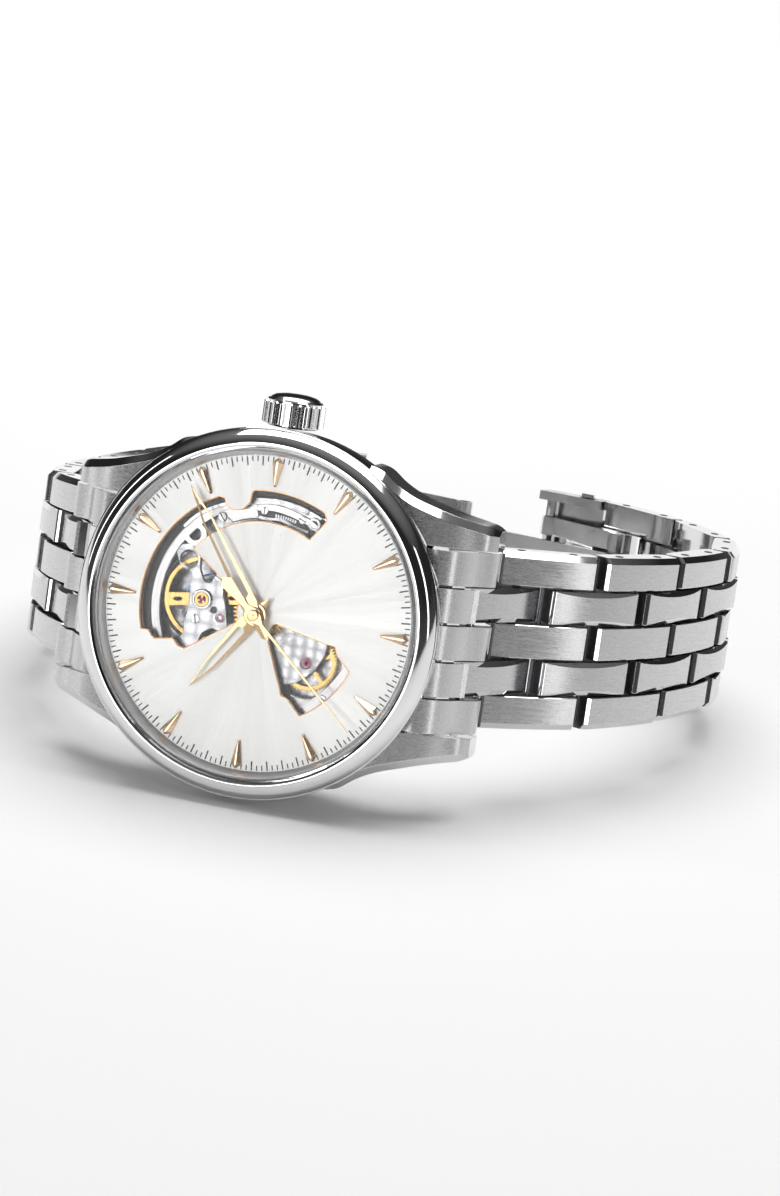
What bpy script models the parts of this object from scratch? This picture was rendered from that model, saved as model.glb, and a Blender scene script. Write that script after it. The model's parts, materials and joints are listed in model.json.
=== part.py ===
"""Automatic wristwatch lying on its nine o'clock side, butterfly clasp half open.

Watch axes, in millimetres: x to three o'clock, y to twelve o'clock, z out of the dial, origin at the
centre of the dial's face. One empty carries the watch to world metres: dial facing -Y, crown up.
"""

import math

import bmesh
import bpy
import numpy as np
from mathutils import Matrix, Vector
from mathutils.geometry import tessellate_polygon

MM = 0.001

# --- sizes of the head ---
CASE_R, CASE_TOP, CASE_BOTTOM = 19.7, -0.1, -6.6
BEZEL_R = 20.0
DIAL_R, DIAL_T = 17.6, 0.4
LUG_INNER = 10.15
ROUND = 48

# --- openings in the dial, polar sizes about the centre ---
OPEN_R, SLOT_R, WEDGE_R, FAN_R = 13.3, 9.8, 2.2, 11.9
BALANCE = (0.35, 6.6)
THIRD = (-4.5, -5.75)
ESCAPE = (3.0, 0.6)
PALLET = (1.9, 3.1)
BARREL = (6.2, -5.4)

# --- bracelet ---
PITCH = 6.0
END_R = 2.6
PIN_R, HOLE_R = 0.45, 0.76
ROW, ROW_GAP = 3.72, 0.3
WIDTH_AT_LUGS, WIDTH_AT_CLASP = 19.8, 16.5
STRAND = 12 * PITCH
SIDE_PLAY, SAG = 3.4, 0.7
SIX_START, TWELVE_START = (-21.3, -8.43), (22.1, -8.25)
SIX_ANGLES = (56, 31, 45.4, 57.4, 69.8, 75, 82, 98.5, 114, 126, 137, 150, 167)
TWELVE_ANGLES = (57.5, 54.5, 62, 77, 83, 89, 94, 98.4, 103.8, 112, 125, 144, 168)

STEEL = (0.78, 0.79, 0.80)
GOLD = (0.90, 0.66, 0.38)
SILVER = (0.86, 0.86, 0.84)


# ---------------------------------------------------------------- shapes: (points in mm, faces)
def polar(r, degrees):
    """A point at radius r, measured clockwise from twelve o'clock."""
    a = math.radians(degrees)
    return (r * math.sin(a), r * math.cos(a))


def arc(r, start, end, steps, centre=(0, 0)):
    ends = [start + (end - start) * i / steps for i in range(steps + 1)]
    return [(centre[0] + p[0], centre[1] + p[1]) for p in (polar(r, a) for a in ends)]


def circle(r, steps, centre=(0, 0)):
    return arc(r, 0, 360 - 360 / steps, steps - 1, centre)


def prism(outline, low, high, holes=()):
    """The outline extruded from low to high, with holes through it."""
    loops = [outline, *holes]
    flat = [p for loop in loops for p in loop]
    caps = tessellate_polygon([[Vector((p[0], p[1], 0)) for p in loop] for loop in loops])
    n = len(flat)
    points = [(x, y, low) for x, y in flat] + [(x, y, high) for x, y in flat]
    faces = [tuple(c) for c in caps] + [tuple(n + i for i in reversed(c)) for c in caps]
    first = 0
    for loop in loops:
        for i in range(len(loop)):
            a, b = first + i, first + (i + 1) % len(loop)
            faces.append((a, b, n + b, n + a))
        first += len(loop)
    return points, faces


def lathe(profile, steps=ROUND, centre=(0, 0)):
    """A closed profile of (radius, height) turned about the z axis; radius 0 is on the axis."""
    points, faces, rings = [], [], []
    for r, z in profile:
        count = 1 if r == 0 else steps
        rings.append((len(points), count))
        for i in range(count):
            a = 2 * math.pi * i / steps
            points.append((centre[0] + r * math.cos(a), centre[1] + r * math.sin(a), z))
    for (a, na), (b, nb) in zip(rings, rings[1:] + rings[:1]):
        for i in range(steps):
            j = (i + 1) % steps
            loop = [a + i % na, a + j % na, b + j % nb, b + i % nb]
            loop = list(dict.fromkeys(loop))
            if len(loop) > 2:
                faces.append(tuple(loop))
    return points, faces


def loft(sections):
    """Loops with the same number of points joined one to the next and closed at both ends."""
    n = len(sections[0])
    points = [p for loop in sections for p in loop]
    faces = [tuple(range(n)), tuple(reversed(range(len(points) - n, len(points))))]
    for k in range(len(sections) - 1):
        for i in range(n):
            j = (i + 1) % n
            faces.append((k * n + i, k * n + j, (k + 1) * n + j, (k + 1) * n + i))
    return points, faces


def gable(outline, low, eaves, ridge):
    """A flat outline carried up to its eaves and closed over a ridge line of two points."""
    n = len(outline)
    points = [(*p, low) for p in outline] + [(*p, eaves) for p in outline] + list(ridge)
    faces = [tuple(range(n))]
    for i in range(n):
        j = (i + 1) % n
        faces.append((i, j, n + j, n + i))
        near_i, near_j = (min((0, 1), key=lambda k: math.dist(ridge[k][:2], outline[m])) for m in (i, j))
        faces.append((n + i, n + j, 2 * n + near_j))
        if near_i != near_j:
            faces.append((n + i, 2 * n + near_j, 2 * n + near_i))
    return points, faces


def moved(shape, matrix):
    return [tuple(matrix @ Vector(p)) for p in shape[0]], shape[1]


def along_x(shape):
    """Turns a shape made about z so that its axis runs along x."""
    return moved(shape, Matrix(((0, 0, 1), (1, 0, 0), (0, 1, 0))))


# ---------------------------------------------------------------- scene
def clear_scene():
    for obj in list(bpy.data.objects):
        bpy.data.objects.remove(obj)


def new_collection(name, hidden=False):
    made = bpy.data.collections.new(name)
    made.hide_render = hidden
    bpy.context.scene.collection.children.link(made)
    return made


def material(name, colour, metallic, roughness):
    made = bpy.data.materials.new(name)
    made.use_nodes = True
    shader = made.node_tree.nodes["Principled BSDF"]
    shader.inputs["Base Color"].default_value = (*colour, 1)
    shader.inputs["Metallic"].default_value = metallic
    shader.inputs["Roughness"].default_value = roughness
    made.diffuse_color = (*colour, 1)
    return made


def mesh_of(name, shape):
    data = bpy.data.meshes.new(name)
    data.from_pydata([tuple(c * MM for c in p) for p in shape[0]], [], shape[1])
    work = bmesh.new()
    work.from_mesh(data)
    bmesh.ops.recalc_face_normals(work, faces=work.faces)
    work.to_mesh(data)
    work.free()
    return data


def node(name, shape, colour=STEEL, metallic=1.0, roughness=0.3, add=(), cut=()):
    """One piece of the watch: a shape with others joined to it, then others cut from it."""
    obj = bpy.data.objects.new(name, mesh_of(name, shape))
    PARTS.objects.link(obj)
    obj.parent = WATCH
    obj.data.materials.append(material(name, colour, metallic, roughness))
    for kind, shapes in (("UNION", add), ("DIFFERENCE", cut)):
        for i, other in enumerate(shapes):
            tool = bpy.data.objects.new(f"{name}_{kind}_{i}", mesh_of(f"{name}_{kind}_{i}", other))
            CUTTERS.objects.link(tool)
            tool.parent = WATCH
            tool.display_type = "WIRE"
            tool.hide_render = True
            change = obj.modifiers.new(f"{kind}_{i}", "BOOLEAN")
            change.operation = kind
            change.solver = "EXACT"
            change.object = tool
    return obj


# ---------------------------------------------------------------- head
def lug(side_x, side_y):
    stations = (
        # y, outer x, top z, bottom z
        (9.8, 17.6, -0.5, -5.9),
        (11.2, 17.2, -0.65, -6.1),
        (12.8, 16.0, -0.9, -6.4),
        (14.8, 14.95, -1.3, -6.9),
        (17.2, 14.15, -2.0, -7.7),
        (19.4, 13.5, -2.95, -8.6),
        (21.4, 13.05, -4.2, -9.4),
        (22.8, 12.75, -5.1, -9.5),
        (23.7, 12.3, -6.2, -9.3),
    )
    sections = []
    for y, x, top, bottom in stations:
        bevel = min(1.0, (top - bottom) * 0.35)
        loop = ((LUG_INNER, top), (x - bevel, top), (x, top - bevel), (x, bottom), (LUG_INNER, bottom))
        sections.append([(side_x * px, side_y * y, pz) for px, pz in loop])
    return loft(sections)


def case():
    body = lathe(((0, CASE_TOP), (CASE_R, CASE_TOP), (CASE_R, -4.9), (18.3, CASE_BOTTOM), (0, CASE_BOTTOM)))
    lugs = [lug(sx, sy) for sx in (-1, 1) for sy in (-1, 1)]
    bore = lathe(((0, 1), (18.05, 1), (18.05, -0.7), (17.2, -0.7), (17.2, -8), (0, -8)))
    tube = along_x(prism(circle(0.85, 16, (0, -3.4)), 12, 24))
    node("case_body", body, add=lugs, cut=[bore, tube], roughness=0.25)


def covers():
    node(
        "bezel",
        lathe(((18.0, 0.2), (BEZEL_R, 0.2), (BEZEL_R, 0.7), (19.1, 1.75), (18.2, 1.95), (18.0, 1.9))),
        roughness=0.08,
    )
    node(
        "crystal",
        lathe(((0, 1.8), (17.7, 1.8), (17.7, 2.1), (17.3, 2.4), (0, 2.4))),
        (0.95, 0.97, 0.98), 0.0, 0.02,
    )
    node(
        "flange_ring",
        lathe(((17.0, 0.3), (17.75, 0.3), (17.75, 1.5), (17.35, 1.5))),
        (0.72, 0.73, 0.75), 1.0, 0.25,
    )
    node(
        "case_back",
        lathe(((13.4, -8.3), (13.4, -6.9), (17.2, -6.9), (17.2, -7.6), (16.4, -8.3))),
        roughness=0.25,
        cut=[prism(circle(0.7, 6, polar(15.3, 60 * i)), -9, -7.7) for i in range(6)],
    )
    node(
        "back_crystal",
        lathe(((0, -8.2), (13.1, -8.2), (13.1, -7.1), (0, -7.1))),
        (0.95, 0.97, 0.98), 0.0, 0.02,
    )


def openings():
    """The two windows in the dial that show the movement."""
    main = [polar(OPEN_R, a) for a in range(-17, 64, 8)]
    main += [(11.75, 5.3), (10.95, 5.0), (10.65, 4.3), (10.85, 3.3), (11.7, 2.6), (12.7, 2.5)]
    main += [polar(OPEN_R, a) for a in range(80, 117, 6)]
    main += [(11.1, -6.3), *(polar(SLOT_R, a) for a in (118, 110, 100, 90, 80, 70, 60, 49, 36))]
    main += [polar(WEDGE_R, a) for a in (33, 10, -12, -32)]
    main += [(-5.2, 7.6), (-5.0, 8.3), (-4.3, 9.0), (-4.65, 11.0), (-4.3, 11.5), (-3.85, 11.8)]
    fan = [(-2.8, -1.5), (-8.3, -3.8), (-8.6, -4.6), (-10.15, -6.15)]
    fan += [polar(FAN_R, a) for a in (-122, -135, -148, -158)]
    fan += [(-2.9, -9.4), (-1.95, -9.0), (-1.85, -8.1), (-0.6, -2.0), (-1.5, -1.6)]
    return [main, fan]


def index(hour):
    turn = Matrix.Rotation(math.radians(-30 * hour), 4, "Z")
    outline = ((0, 16.9), (-0.62, 16.35), (-0.15, 13.75), (0.15, 13.75), (0.62, 16.35))
    return moved(gable(outline, -0.2, 0.25, ((0, 16.4, 0.6), (0, 13.9, 0.3))), turn)


def dial():
    arbor = circle(1.1, 20)
    node(
        "dial",
        prism(circle(DIAL_R, ROUND), -DIAL_T, 0, [arbor, *openings()]),
        SILVER, 0.6, 0.35,
        add=[index(hour) for hour in range(12)],
    )


def dauphine(length, width, waist, base):
    """Outline and slot of a skeleton dauphine hand pointing at twelve."""
    outline = [(0.12, length), (width, waist), (base, 1.0), (0.9, 0.2)]
    left = [(-x, y) for x, y in reversed(outline)]
    slot = [(0, waist + 2.9 * width), (width * 0.42, waist + 0.2), (base * 0.45, 2.3)]
    slot += [(-x, y) for x, y in reversed(slot[1:])]
    return outline, left, slot


def hand(name, minutes, length, width, waist, base, bore, level, tail):
    """A dauphine hand with its pointed tail, turned to the given minute mark."""
    right, left, slot = dauphine(length, width, waist, base)
    blade = prism([*right, (0.75, -0.7), (0, -tail), (-0.75, -0.7), *left], level, level + 0.18, [slot])
    turn = Matrix.Rotation(math.radians(-6 * minutes), 4, "Z")
    hub = prism(circle(bore + 0.4, 20), level - 0.02, level + 0.2)
    node(name, moved(blade, turn), GOLD, 1.0, 0.15, add=[hub], cut=[prism(circle(bore, 16), 0, 3)])


def hands():
    hand("hour_hand", 50.8, 10.9, 0.62, 7.6, 0.98, 0.95, 0.75, 2.45)
    hand("minute_hand", 9.1, 15.4, 0.62, 11.4, 0.98, 0.5, 1.15, 2.95)
    needle = [(0.1, 16.1), (0.16, 1.1), (0.75, 0.35), (0.75, -0.35), (0.35, -1.1)]
    needle += [(0.74, -4.55), (0, -5.2)]
    needle += [(-x, y) for x, y in reversed(needle[:-1])]
    turn = Matrix.Rotation(math.radians(-6 * 36.9), 4, "Z")
    node(
        "seconds_hand",
        moved(prism(needle, 1.48, 1.6), turn),
        GOLD, 1.0, 0.15,
        add=[prism(circle(0.14, 10), -2.4, 1.55)],
    )


def toothed(r, teeth, depth):
    """A gear's outline: two points on each tooth's tip and two at its root."""
    loop = []
    for i in range(teeth):
        for share, radius in ((0.0, r - depth), (0.3, r), (0.5, r), (0.8, r - depth)):
            loop.append(polar(radius, 360 * (i + share) / teeth))
    return loop


def shifted(points, centre):
    return [(x + centre[0], y + centre[1]) for x, y in points]


def windows(inner, outer, count, spoke, centre=(0, 0), turn=0):
    """The gaps between a wheel's spokes."""
    gaps = []
    for i in range(count):
        start, end = turn + 360 * i / count, turn + 360 * (i + 1) / count
        off = [math.degrees(math.asin(spoke / 2 / r)) for r in (inner, outer)]
        loop = arc(outer, start + off[1], end - off[1], 5) + arc(inner, end - off[0], start + off[0], 3)
        gaps.append(shifted(loop, centre))
    return gaps


def wheel(name, centre, r, teeth, low, high, spokes, hub, rim, colour=GOLD, bore=None):
    holes = windows(hub, r - rim, spokes, 0.55, centre, 20)
    if bore:
        holes.append(circle(bore, 12, centre))
    node(name, prism(shifted(toothed(r, teeth, 0.28), centre), low, high, holes), colour, 1.0, 0.25)


def movement():
    frame = lathe(((13.35, -5.9), (16.9, -5.9), (16.9, -0.7), (13.9, -0.7), (13.9, -1.6), (13.35, -1.6)))
    node("movement_ring", frame, roughness=0.3, cut=[along_x(prism(circle(0.85, 16, (0, -3.4)), 12, 18))])
    sinks = [circle(5.3, 32, BALANCE), circle(0.35, 10)]
    node("main_plate", prism(circle(12.9, 48), -4.6, -3.2, sinks), (0.70, 0.70, 0.71), roughness=0.35,
         cut=[along_x(prism(circle(0.8, 16, (0, -3.4)), 5, 18))])
    rim = [polar(11.7, a) for a in range(-24, 61, 6)] + [polar(9.9, a) for a in range(64, 113, 8)]
    rim += [polar(12.3, a) for a in (116, 128, 140, 152, 164, 176, 185)] + arc(3.8, 160, 290, 8, THIRD)
    rim += [polar(12.3, a) for a in (250, 262, 274, 286, 298, 310, 322)]
    node("dial_side_rim", prism(circle(13.1, 48), -1.75, -1.35, [rim]), (0.72, 0.72, 0.73))
    train = [(-7.6, -2.9), (-6.7, -5.2), (-5.2, -6.8), (-3.4, -7.7), (-1.2, -8.0), (0.8, -7.0), (1.2, -2.4)]
    train += [(-1.0, -1.3), (-3.4, -1.6)]
    node("train_bridge", prism(train, -1.75, -1.35, [circle(0.3, 10, THIRD)]), (0.80, 0.80, 0.80))
    bridge = [(-5.6, 9.2), (-3.6, 8.2), (-1.2, 8.3), (0.1, 8.1), (2.4, 8.2), (4.6, 9.8), (5.9, 8.6), (5.0, 7.6)]
    bridge += [(2.8, 7.1), (2.0, 6.0), (3.2, 5.0), (2.4, 4.3), (0.0, 3.9), (-2.0, 3.5), (-4.4, 4.6), (-6.6, 7.2)]
    node("balance_bridge", prism(bridge, -1.75, -1.35, [circle(0.3, 10, BALANCE)]), (0.82, 0.82, 0.83))
    gaps = windows(1.0, 4.1, 2, 1.3, BALANCE, 8)
    node("balance_wheel", prism(circle(4.65, 32, BALANCE), -2.5, -2.1, gaps), GOLD, 1.0, 0.2,
         add=[prism(circle(0.13, 8, BALANCE), -3.0, -1.5)])
    spiral = [(0.75 + 0.0016 * a, a) for a in range(0, 1261, 45)]
    coil = [polar(r + 0.08, a) for r, a in spiral] + [polar(r - 0.08, a) for r, a in reversed(spiral)]
    node("hairspring", prism(shifted(coil, BALANCE), -2.98, -2.82), (0.25, 0.35, 0.6), 1.0, 0.25)
    wheel("third_wheel", THIRD, 3.25, 24, -2.4, -2.1, 5, 0.8, 0.75)
    wheel("escape_wheel", ESCAPE, 1.6, 15, -2.95, -2.7, 4, 0.45, 0.5, STEEL)
    px, py = PALLET
    fork = [(px - 0.9, py - 0.2), (px - 0.8, py + 0.15), (px - 0.2, py + 0.2), (px - 0.1, py + 0.9)]
    fork += [(px + 0.15, py + 0.9), (px + 0.2, py + 0.2), (px + 0.8, py - 0.05), (px + 0.7, py - 0.35)]
    node("pallet_fork", prism(fork, -2.95, -2.7), roughness=0.2)
    node("mainspring_barrel", prism(shifted(toothed(4.6, 24, 0.25), BARREL), -2.9, -2.1), GOLD, 1.0, 0.3)
    tube = lathe(((0.62, -1.15), (3.15, -1.15), (3.15, -0.85), (0.86, -0.85), (0.86, 0.93), (0.62, 0.93)), 30)
    node("hour_wheel", tube, GOLD, 1.0, 0.25)
    node("cannon_pinion", lathe(((0.27, -1.6), (0.46, -1.6), (0.46, 1.33), (0.27, 1.33)), 16), roughness=0.2)
    swing = [polar(12.4, a) for a in range(180, 361, 15)] + [polar(1.8, a) for a in (350, 270, 190)]
    weight = [polar(12.4, a) for a in range(186, 355, 14)] + [polar(9.4, a) for a in range(354, 185, -14)]
    node("rotor", prism(swing, -6.0, -5.7), (0.70, 0.71, 0.73), 1.0, 0.3,
         add=[prism(circle(2.0, 20), -6.0, -5.7), prism(weight, -6.7, -5.75)])
    node("rotor_bridge", prism([polar(12.6, a) for a in range(200, 521, 16)], -5.4, -4.8),
         (0.74, 0.74, 0.75), 1.0, 0.3, add=[prism(circle(2.2, 20), -5.4, -4.85)])


def crown():
    centre = (0, -3.4)
    flutes = []
    for i in range(20):
        for share, r in ((0.1, 3.05), (0.3, 3.35), (0.7, 3.35), (0.9, 3.05)):
            flutes.append(polar(r, 18 * (i + share)))
    grip = along_x(prism(shifted(flutes, centre), 20.3, 22.9))
    cap = along_x(lathe(((0, 22.8), (3.0, 22.8), (2.4, 23.5), (0, 23.7)), 20, centre))
    neck = along_x(prism(circle(1.5, 16, centre), 20.02, 20.5))
    blind = along_x(prism(circle(0.7, 12, centre), 19, 22.2))
    node("crown", grip, roughness=0.15, add=[cap, neck], cut=[blind])
    node("winding_stem", along_x(prism(circle(0.5, 10, centre), 9.0, 21.8)), roughness=0.2)


# ---------------------------------------------------------------- bracelet
def heading(strand, degrees):
    """Direction along a strand and its outward normal, in (y, z)."""
    a = math.radians(degrees)
    side = -1 if strand == "six" else 1
    return (side * math.cos(a), -math.sin(a)), (side * math.sin(a), math.cos(a))


def chain(strand):
    """Every piece of a strand from its first pin: (pin, direction angle), 12 pieces, then the clasp end."""
    start, angles = (SIX_START, SIX_ANGLES) if strand == "six" else (TWELVE_START, TWELVE_ANGLES)
    y, z = start
    pieces = []
    for angle in angles:
        pieces.append(((y, z), angle))
        (dy, dz), _ = heading(strand, angle)
        y, z = y + PITCH * dy, z + PITCH * dz
    return pieces


def drift(strand, travelled):
    """How far the play of the hinges lets a strand stray towards three o'clock, or sag away from it."""
    share = min(max(travelled / STRAND, 0), 1)
    if strand == "six":
        return SIDE_PLAY * share
    return SIDE_PLAY * share**2.5 - SAG * math.sin(math.pi * share)


def in_place(shape, strand, pin, angle, travelled):
    """A piece drawn in (x, along, outward) carried to its pin, tapered as the bracelet narrows."""
    (dy, dz), (ny, nz) = heading(strand, angle)
    points = []
    for x, s, n in shape[0]:
        share = min(max((travelled + s) / STRAND, 0), 1)
        taper = 1 - (1 - WIDTH_AT_CLASP / WIDTH_AT_LUGS) * share
        aside = x * taper + drift(strand, travelled + s)
        points.append((aside, pin[0] + s * dy + n * ny, pin[1] + s * dz + n * nz))
    return points, shape[1]


def comb(rows, outline, through=(), bars=(), reach=None):
    """Rows side by side along x with one outline, holes through them all and bars between them, which also
    run on to x = -reach and reach if that is given."""
    points, faces = [], []

    def ring(loop, x):
        first = len(points)
        points.extend((x, s, n) for s, n in loop)
        return list(range(first, first + len(loop)))

    def wall(a, b):
        for i in range(len(a)):
            j = (i + 1) % len(a)
            faces.append((a[i], a[j], b[j], b[i]))

    def end(loops_x, x):
        loops, ids = loops_x
        corners = [i for loop in ids for i in loop]
        caps = tessellate_polygon([[Vector((x, s, n)) for s, n in loop] for loop in loops])
        faces.extend(tuple(corners[i] for i in cap) for cap in caps)

    waiting = None
    for k, (low, high) in enumerate(rows):
        sides = []
        for x, joined in ((low, k > 0 or reach), (high, k < len(rows) - 1 or reach)):
            loops = [outline, *through, *(bars if joined else ())]
            ids = [ring(loop, x) for loop in loops]
            end((loops, ids), x)
            sides.append(ids)
        for i in range(1 + len(through)):
            wall(sides[0][i], sides[1][i])
        if reach and not waiting:
            waiting = [ring(loop, -reach) for loop in bars]
            faces.extend(tuple(loop) for loop in waiting)
        for a, b in zip(waiting or (), sides[0][1 + len(through):]):
            wall(a, b)
        waiting = sides[1][1 + len(through):]
    if reach:
        for a, loop in zip(waiting, bars):
            last = ring(loop, reach)
            wall(a, last)
            faces.append(tuple(last))
    return points, faces


def link_outline():
    turns = (-38, 0, 38)
    far = [(PITCH + END_R * math.cos(math.radians(a)), END_R * math.sin(math.radians(a))) for a in turns]
    near = [(PITCH - s, n) for s, n in reversed(far)]
    return far + near


def at(points, s, n=0.0):
    return [(p[0] + s, p[1] + n) for p in points]


ROW_AT = [-WIDTH_AT_LUGS / 2 + k * (ROW + ROW_GAP) for k in range(5)]
ODD_ROWS = [(ROW_AT[k], ROW_AT[k] + ROW) for k in (0, 2, 4)]
EVEN_ROWS = [(ROW_AT[k], ROW_AT[k] + ROW) for k in (1, 3)]
PIN = circle(PIN_R, 6)
HOLE = circle(HOLE_R, 6)
CROSS_BAR = [(2.75, -0.9), (3.25, -0.9), (3.25, 0.9), (2.75, 0.9)]


def strand(name):
    outer = comb(ODD_ROWS, link_outline(), bars=[PIN, at(PIN, PITCH)])
    inner = comb(EVEN_ROWS, link_outline(), [HOLE, at(HOLE, PITCH)], [CROSS_BAR], 9.6)
    for i, (pin, angle) in enumerate(chain(name)[:-1]):
        kind, shape = ("outer_link", outer) if i % 2 else ("inner_link", inner)
        node(f"{name}_{kind}_{i // 2 + 1}", in_place(shape, name, pin, angle, PITCH * i), roughness=0.22)


def end_link(name):
    """The piece between the lugs, with the three knuckles that hold the first pin."""
    side = -1 if name == "six" else 1
    pin, angle = chain(name)[0]
    shell = [(12.0, -1.6), (18.6, -1.9), (20.6, -3.3), (21.9, -5.4), (22.4, -7.2), (21.0, -6.6), (17.6, -5.9)]
    shell += [(12.0, -5.5)]
    block = ([(x, side * y, z) for x in (-9.85, 9.85) for y, z in shell], prism(shell, 0, 1)[1])
    knuckle = comb(ODD_ROWS, circle(1.9, 12), bars=[PIN])
    rooms = [
        ([(x, *p) for x in row for p in shifted(circle(2.75, 16), pin)], prism(circle(2.75, 16), 0, 1)[1])
        for row in [(a - ROW_GAP, b + ROW_GAP) for a, b in EVEN_ROWS]
    ]
    ring = lathe(((0, 0), (20.0, 0), (20.0, -4.95), (18.65, -6.85), (0, -6.85)))
    placed = in_place(knuckle, name, pin, angle, 0)
    web = ([(x, side * y, z) for x in (-9.85, 9.85)
            for y, z in ((20.2, -5.2), (22.1, -6.2), (22.2, -8.2), (20.8, -7.6))],
           prism(((0, 0), (1, 0), (1, 1), (0, 1)), 0, 1)[1])
    obj = node(f"{name}_end_link", block, roughness=0.22, add=[web], cut=[ring, *rooms])
    joined = bpy.data.objects.new(f"{name}_knuckle", mesh_of(f"{name}_knuckle", placed))
    CUTTERS.objects.link(joined)
    joined.parent = WATCH
    joined.display_type = "WIRE"
    joined.hide_render = True
    change = obj.modifiers.new("knuckles", "BOOLEAN")
    change.operation = "UNION"
    change.solver = "EXACT"
    change.object = joined


# ---------------------------------------------------------------- clasp
EYE_R, LEAF_T = 1.05, 0.35
TO_CLASP = WIDTH_AT_LUGS / WIDTH_AT_CLASP
FREE_END = (9.6, -0.2)
SIX_KNUCKLE, OPEN_KNUCKLE = (-1.0, -3.9), (20.6, -1.8)


def clasp_rows(*pairs):
    """Rows given in true millimetres, either side of the middle when the first edge is positive."""
    rows = [(a, b) for a, b in pairs] if pairs[0][0] < 0 else [(-b, -a) for a, b in reversed(pairs)] + list(pairs)
    return [(a * TO_CLASP, b * TO_CLASP) for a, b in rows]


def leaf_outline(a, b):
    """A thin leaf from a to b with a round eye at each end."""
    lean = math.degrees(math.atan2(b[1] - a[1], b[0] - a[0]))
    neck = math.degrees(math.asin(LEAF_T / EYE_R))
    loop = []
    for centre, turn in ((a, lean), (b, lean + 180)):
        for i in range(9):
            angle = math.radians(turn + neck + (360 - 2 * neck) * i / 8)
            loop.append((centre[0] + EYE_R * math.cos(angle), centre[1] + EYE_R * math.sin(angle)))
    return loop


def strip(a, b, shares, half):
    """A rectangle inside a leaf, between two shares of its length."""
    length = math.dist(a, b)
    dx, dy = (b[0] - a[0]) / length, (b[1] - a[1]) / length
    spots = [(a[0] + (b[0] - a[0]) * t, a[1] + (b[1] - a[1]) * t) for t in shares]
    return [(x - k * half * dy, y + k * half * dx) for (x, y), ks in zip(spots, ((1, -1), (-1, 1))) for k in ks]


def block(x, s, n):
    """A box in (x, along, outward) from three (low, high) pairs in true millimetres."""
    points = [(i * TO_CLASP, j, k) for i in x for j in s for k in n]
    faces = [(0, 1, 3, 2), (4, 6, 7, 5), (0, 4, 5, 1), (2, 3, 7, 6), (0, 2, 6, 4), (1, 5, 7, 3)]
    return points, faces


def clasp_point(strand, where):
    """A point given in a strand's clasp frame, in watch (y, z)."""
    pin, angle = chain(strand)[-1]
    (dy, dz), (ny, nz) = heading(strand, angle)
    return pin[0] + where[0] * dy + where[1] * ny, pin[1] + where[0] * dz + where[1] * nz


def in_clasp(strand, point):
    """The other way: a watch (y, z) point in a strand's clasp frame."""
    pin, angle = chain(strand)[-1]
    (dy, dz), (ny, nz) = heading(strand, angle)
    y, z = point[0] - pin[0], point[1] - pin[1]
    return y * dy + z * dz, y * ny + z * nz


def end_frame(strand, cut=()):
    """The open frame at a strand's end: two side walls, a cover and the pin for its blade."""
    def put(shape):
        return in_place(shape, strand, *chain(strand)[-1], STRAND)

    knuckle = [(3.4, 1.45), *[(2.0 * math.cos(a), 2.0 * math.sin(a)) for a in
               (math.radians(d) for d in range(60, 301, 30))], (3.4, -1.2)]
    walls = [put(block((a, b), (2.75, 11.0), (-1.3, 1.5))) for a, b in ((-8.25, -7.2), (7.2, 8.25))]
    pin = along_x(prism(shifted(PIN, FREE_END), -7.6 * TO_CLASP, 7.6 * TO_CLASP))
    joined = [*walls, put(comb(EVEN_ROWS, knuckle, [HOLE])), put(pin)]
    node(f"{strand}_end_frame", put(block((-7.7, 7.7), (2.95, 6.4), (0.5, 1.42))), roughness=0.15,
         add=[*joined, put(block((-7.6, 7.6), (6.2, 10.9), (1.0, 1.38)))], cut=[put(c) for c in cut])


def clasp():
    end_frame("twelve")
    end_frame("six", [block((a, b), (3.9, 6.1), (-0.85, 0.25)) for a, b in ((-9, -6), (6, 9))])
    frame = ("six", *chain("six")[-1], STRAND)
    for side, span in (("upper", (7.5, 8.75)), ("lower", (-8.75, -7.5))):
        node(f"{side}_push_button", in_place(block(span, (4.2, 5.8), (-0.55, -0.05)), *frame), roughness=0.1)
    rows = clasp_rows((3.0, 5.2))
    blade = comb(rows, leaf_outline(FREE_END, SIX_KNUCKLE), [shifted(HOLE, FREE_END)],
                 [shifted(PIN, SIX_KNUCKLE), strip(FREE_END, SIX_KNUCKLE, (0.3, 0.7), 0.25)])
    node("six_blade", in_place(blade, *frame), roughness=0.12)
    base = comb(clasp_rows((-2.6, 2.6)), leaf_outline(SIX_KNUCKLE, OPEN_KNUCKLE),
                [shifted(HOLE, SIX_KNUCKLE), shifted(HOLE, OPEN_KNUCKLE)])
    node("clasp_base_plate", in_place(base, *frame), roughness=0.12)
    far = in_clasp("twelve", clasp_point("six", OPEN_KNUCKLE))
    blade = comb(rows, leaf_outline(FREE_END, far), [shifted(HOLE, FREE_END), shifted(HOLE, far)],
                 [strip(FREE_END, far, (0.15, 0.6), 0.25)])
    node("twelve_blade", in_place(blade, "twelve", *chain("twelve")[-1], STRAND), roughness=0.12)


# ---------------------------------------------------------------- at rest on the floor
def watch_points(objects):
    """Every vertex of the finished pieces, in watch axes and metres."""
    graph = bpy.context.evaluated_depsgraph_get()
    found = []
    for obj in objects:
        data = obj.evaluated_get(graph).to_mesh()
        flat = np.empty(len(data.vertices) * 3)
        data.vertices.foreach_get("co", flat)
        found.append(flat.reshape(-1, 3))
        obj.evaluated_get(graph).to_mesh_clear()
    return np.concatenate(found)


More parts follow.
